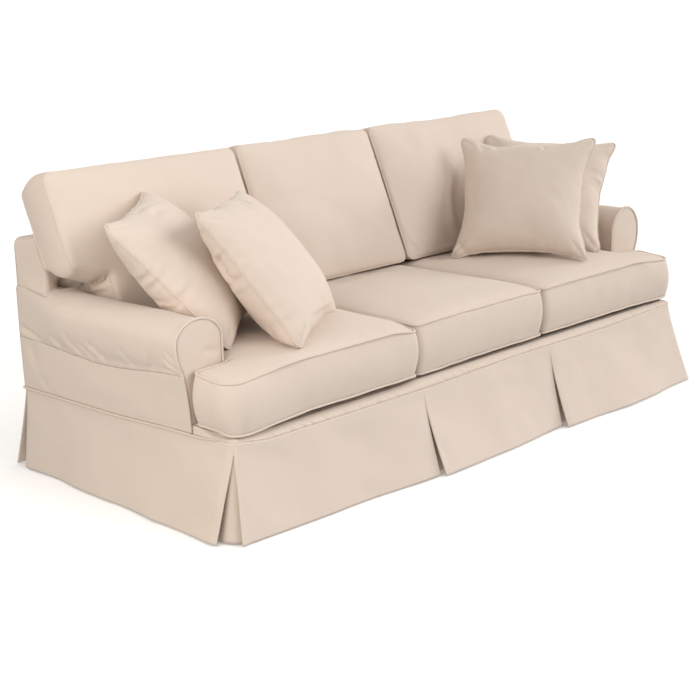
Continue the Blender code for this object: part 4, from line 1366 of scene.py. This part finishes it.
def surround():
    """A pale sky all round, brighter above and to the right."""
    world = bpy.data.worlds.new("studio")
    world.use_nodes = True
    tree = world.node_tree
    calc = calculator(tree)
    axes = add_node(tree, "SeparateXYZ", {0: add_node(tree, "TexCoord", {})["Generated"]})
    ramp = {"Value": axes["Z"], "From Min": -0.15, "From Max": 0.35, "To Min": 0.47, "To Max": 0.79}
    from_right = calc("MULTIPLY_ADD", axes["X"], 0.30, 1.0)
    strength = calc("MULTIPLY", add_node(tree, "MapRange", ramp)[0], from_right)
    pale = (1.0, 0.985, 0.955, 1.0)
    put(tree, tree.nodes["Background"], {"Color": pale, "Strength": strength})
    bpy.context.scene.world = world


def light(name, kind, place, target, **settings):
    data = bpy.data.lights.new(name, kind)
    for setting, value in settings.items():
        setattr(data, setting, value)
    made = new_object(name, data)
    made.location = place
    made.rotation_euler = (Vector(target) - Vector(place)).to_track_quat("-Z", "Y").to_euler()


def floor():
    reach = 300
    corners = reach * np.array([(-1, -1, 0), (1, -1, 0), (1, 1, 0), (-1, 1, 0)])
    mesh = new_mesh("floor", corners, np.array([(0, 1, 2, 3)]))
    pale = bpy.data.materials.new("floor")
    pale.use_nodes = True
    put(pale.node_tree, pale.node_tree.nodes["Principled BSDF"], {
        "Base Color": (0.97, 0.97, 0.97, 1.0), "Roughness": 1.0, "Specular IOR Level": 0.0,
        "Emission Color": (1.0, 1.0, 1.0, 1.0), "Emission Strength": 0.12,
    })
    mesh.materials.append(pale)
    made = new_object("floor", mesh)
    made.location.z = -0.001
    made.visible_diffuse = False


def studio():
    surround()
    light("key", "SUN", (1.6, -6.0, 2.7), (0, 0, 0),
          energy=0.98, angle=math.radians(36), color=(0.98, 0.99, 1.0))
    light("cross", "SUN", (6.0, -1.6, 2.2), (0, 0, 0),
          energy=1.05, angle=math.radians(20), color=(1.0, 0.985, 0.97))
    light("side", "AREA", (-2.75, -0.55, 0.95), (-0.9, 0, 0.4),
          shape="RECTANGLE", size=1.6, size_y=1.4, energy=25, color=(1.0, 0.965, 0.90))
    bpy.context.scene.view_settings.view_transform = "Standard"
    floor()


# ---- build ----


def build():
    for arm in ARMS:
        arm_top(arm)
        outside_arm(arm)
        arm_facing(arm)
        facing_welt(arm)
        corner_underlay(f"pleat_corner_front_{arm.name}", arm.side, -1)
        corner_underlay(f"pleat_corner_back_{arm.name}", arm.side, 1)
    outside_back()
    back_boxing()
    inside_back()
    deck()
    front_rail()
    for panel in SKIRT:
        skirt_panel(panel)
    pleat_underlay("pleat_front_left", -0.300, 117)
    pleat_underlay("pleat_front_right", 0.310, 118)
    skirt_welt()
    for i, seat in enumerate(SEATS):
        seat_cushion(seat, 300 + 10 * i)
    back_cushion("back_cushion_left", (-1.030, -MEETING), 401)
    back_cushion("back_cushion_middle", (-MIDDLE_HALF, MIDDLE_HALF), 411)
    back_cushion("back_cushion_right", (MEETING, 1.056), 421)
    for item in PILLOWS:
        pillow(item)


build()
camera()
studio()
bpy.context.view_layer.update()
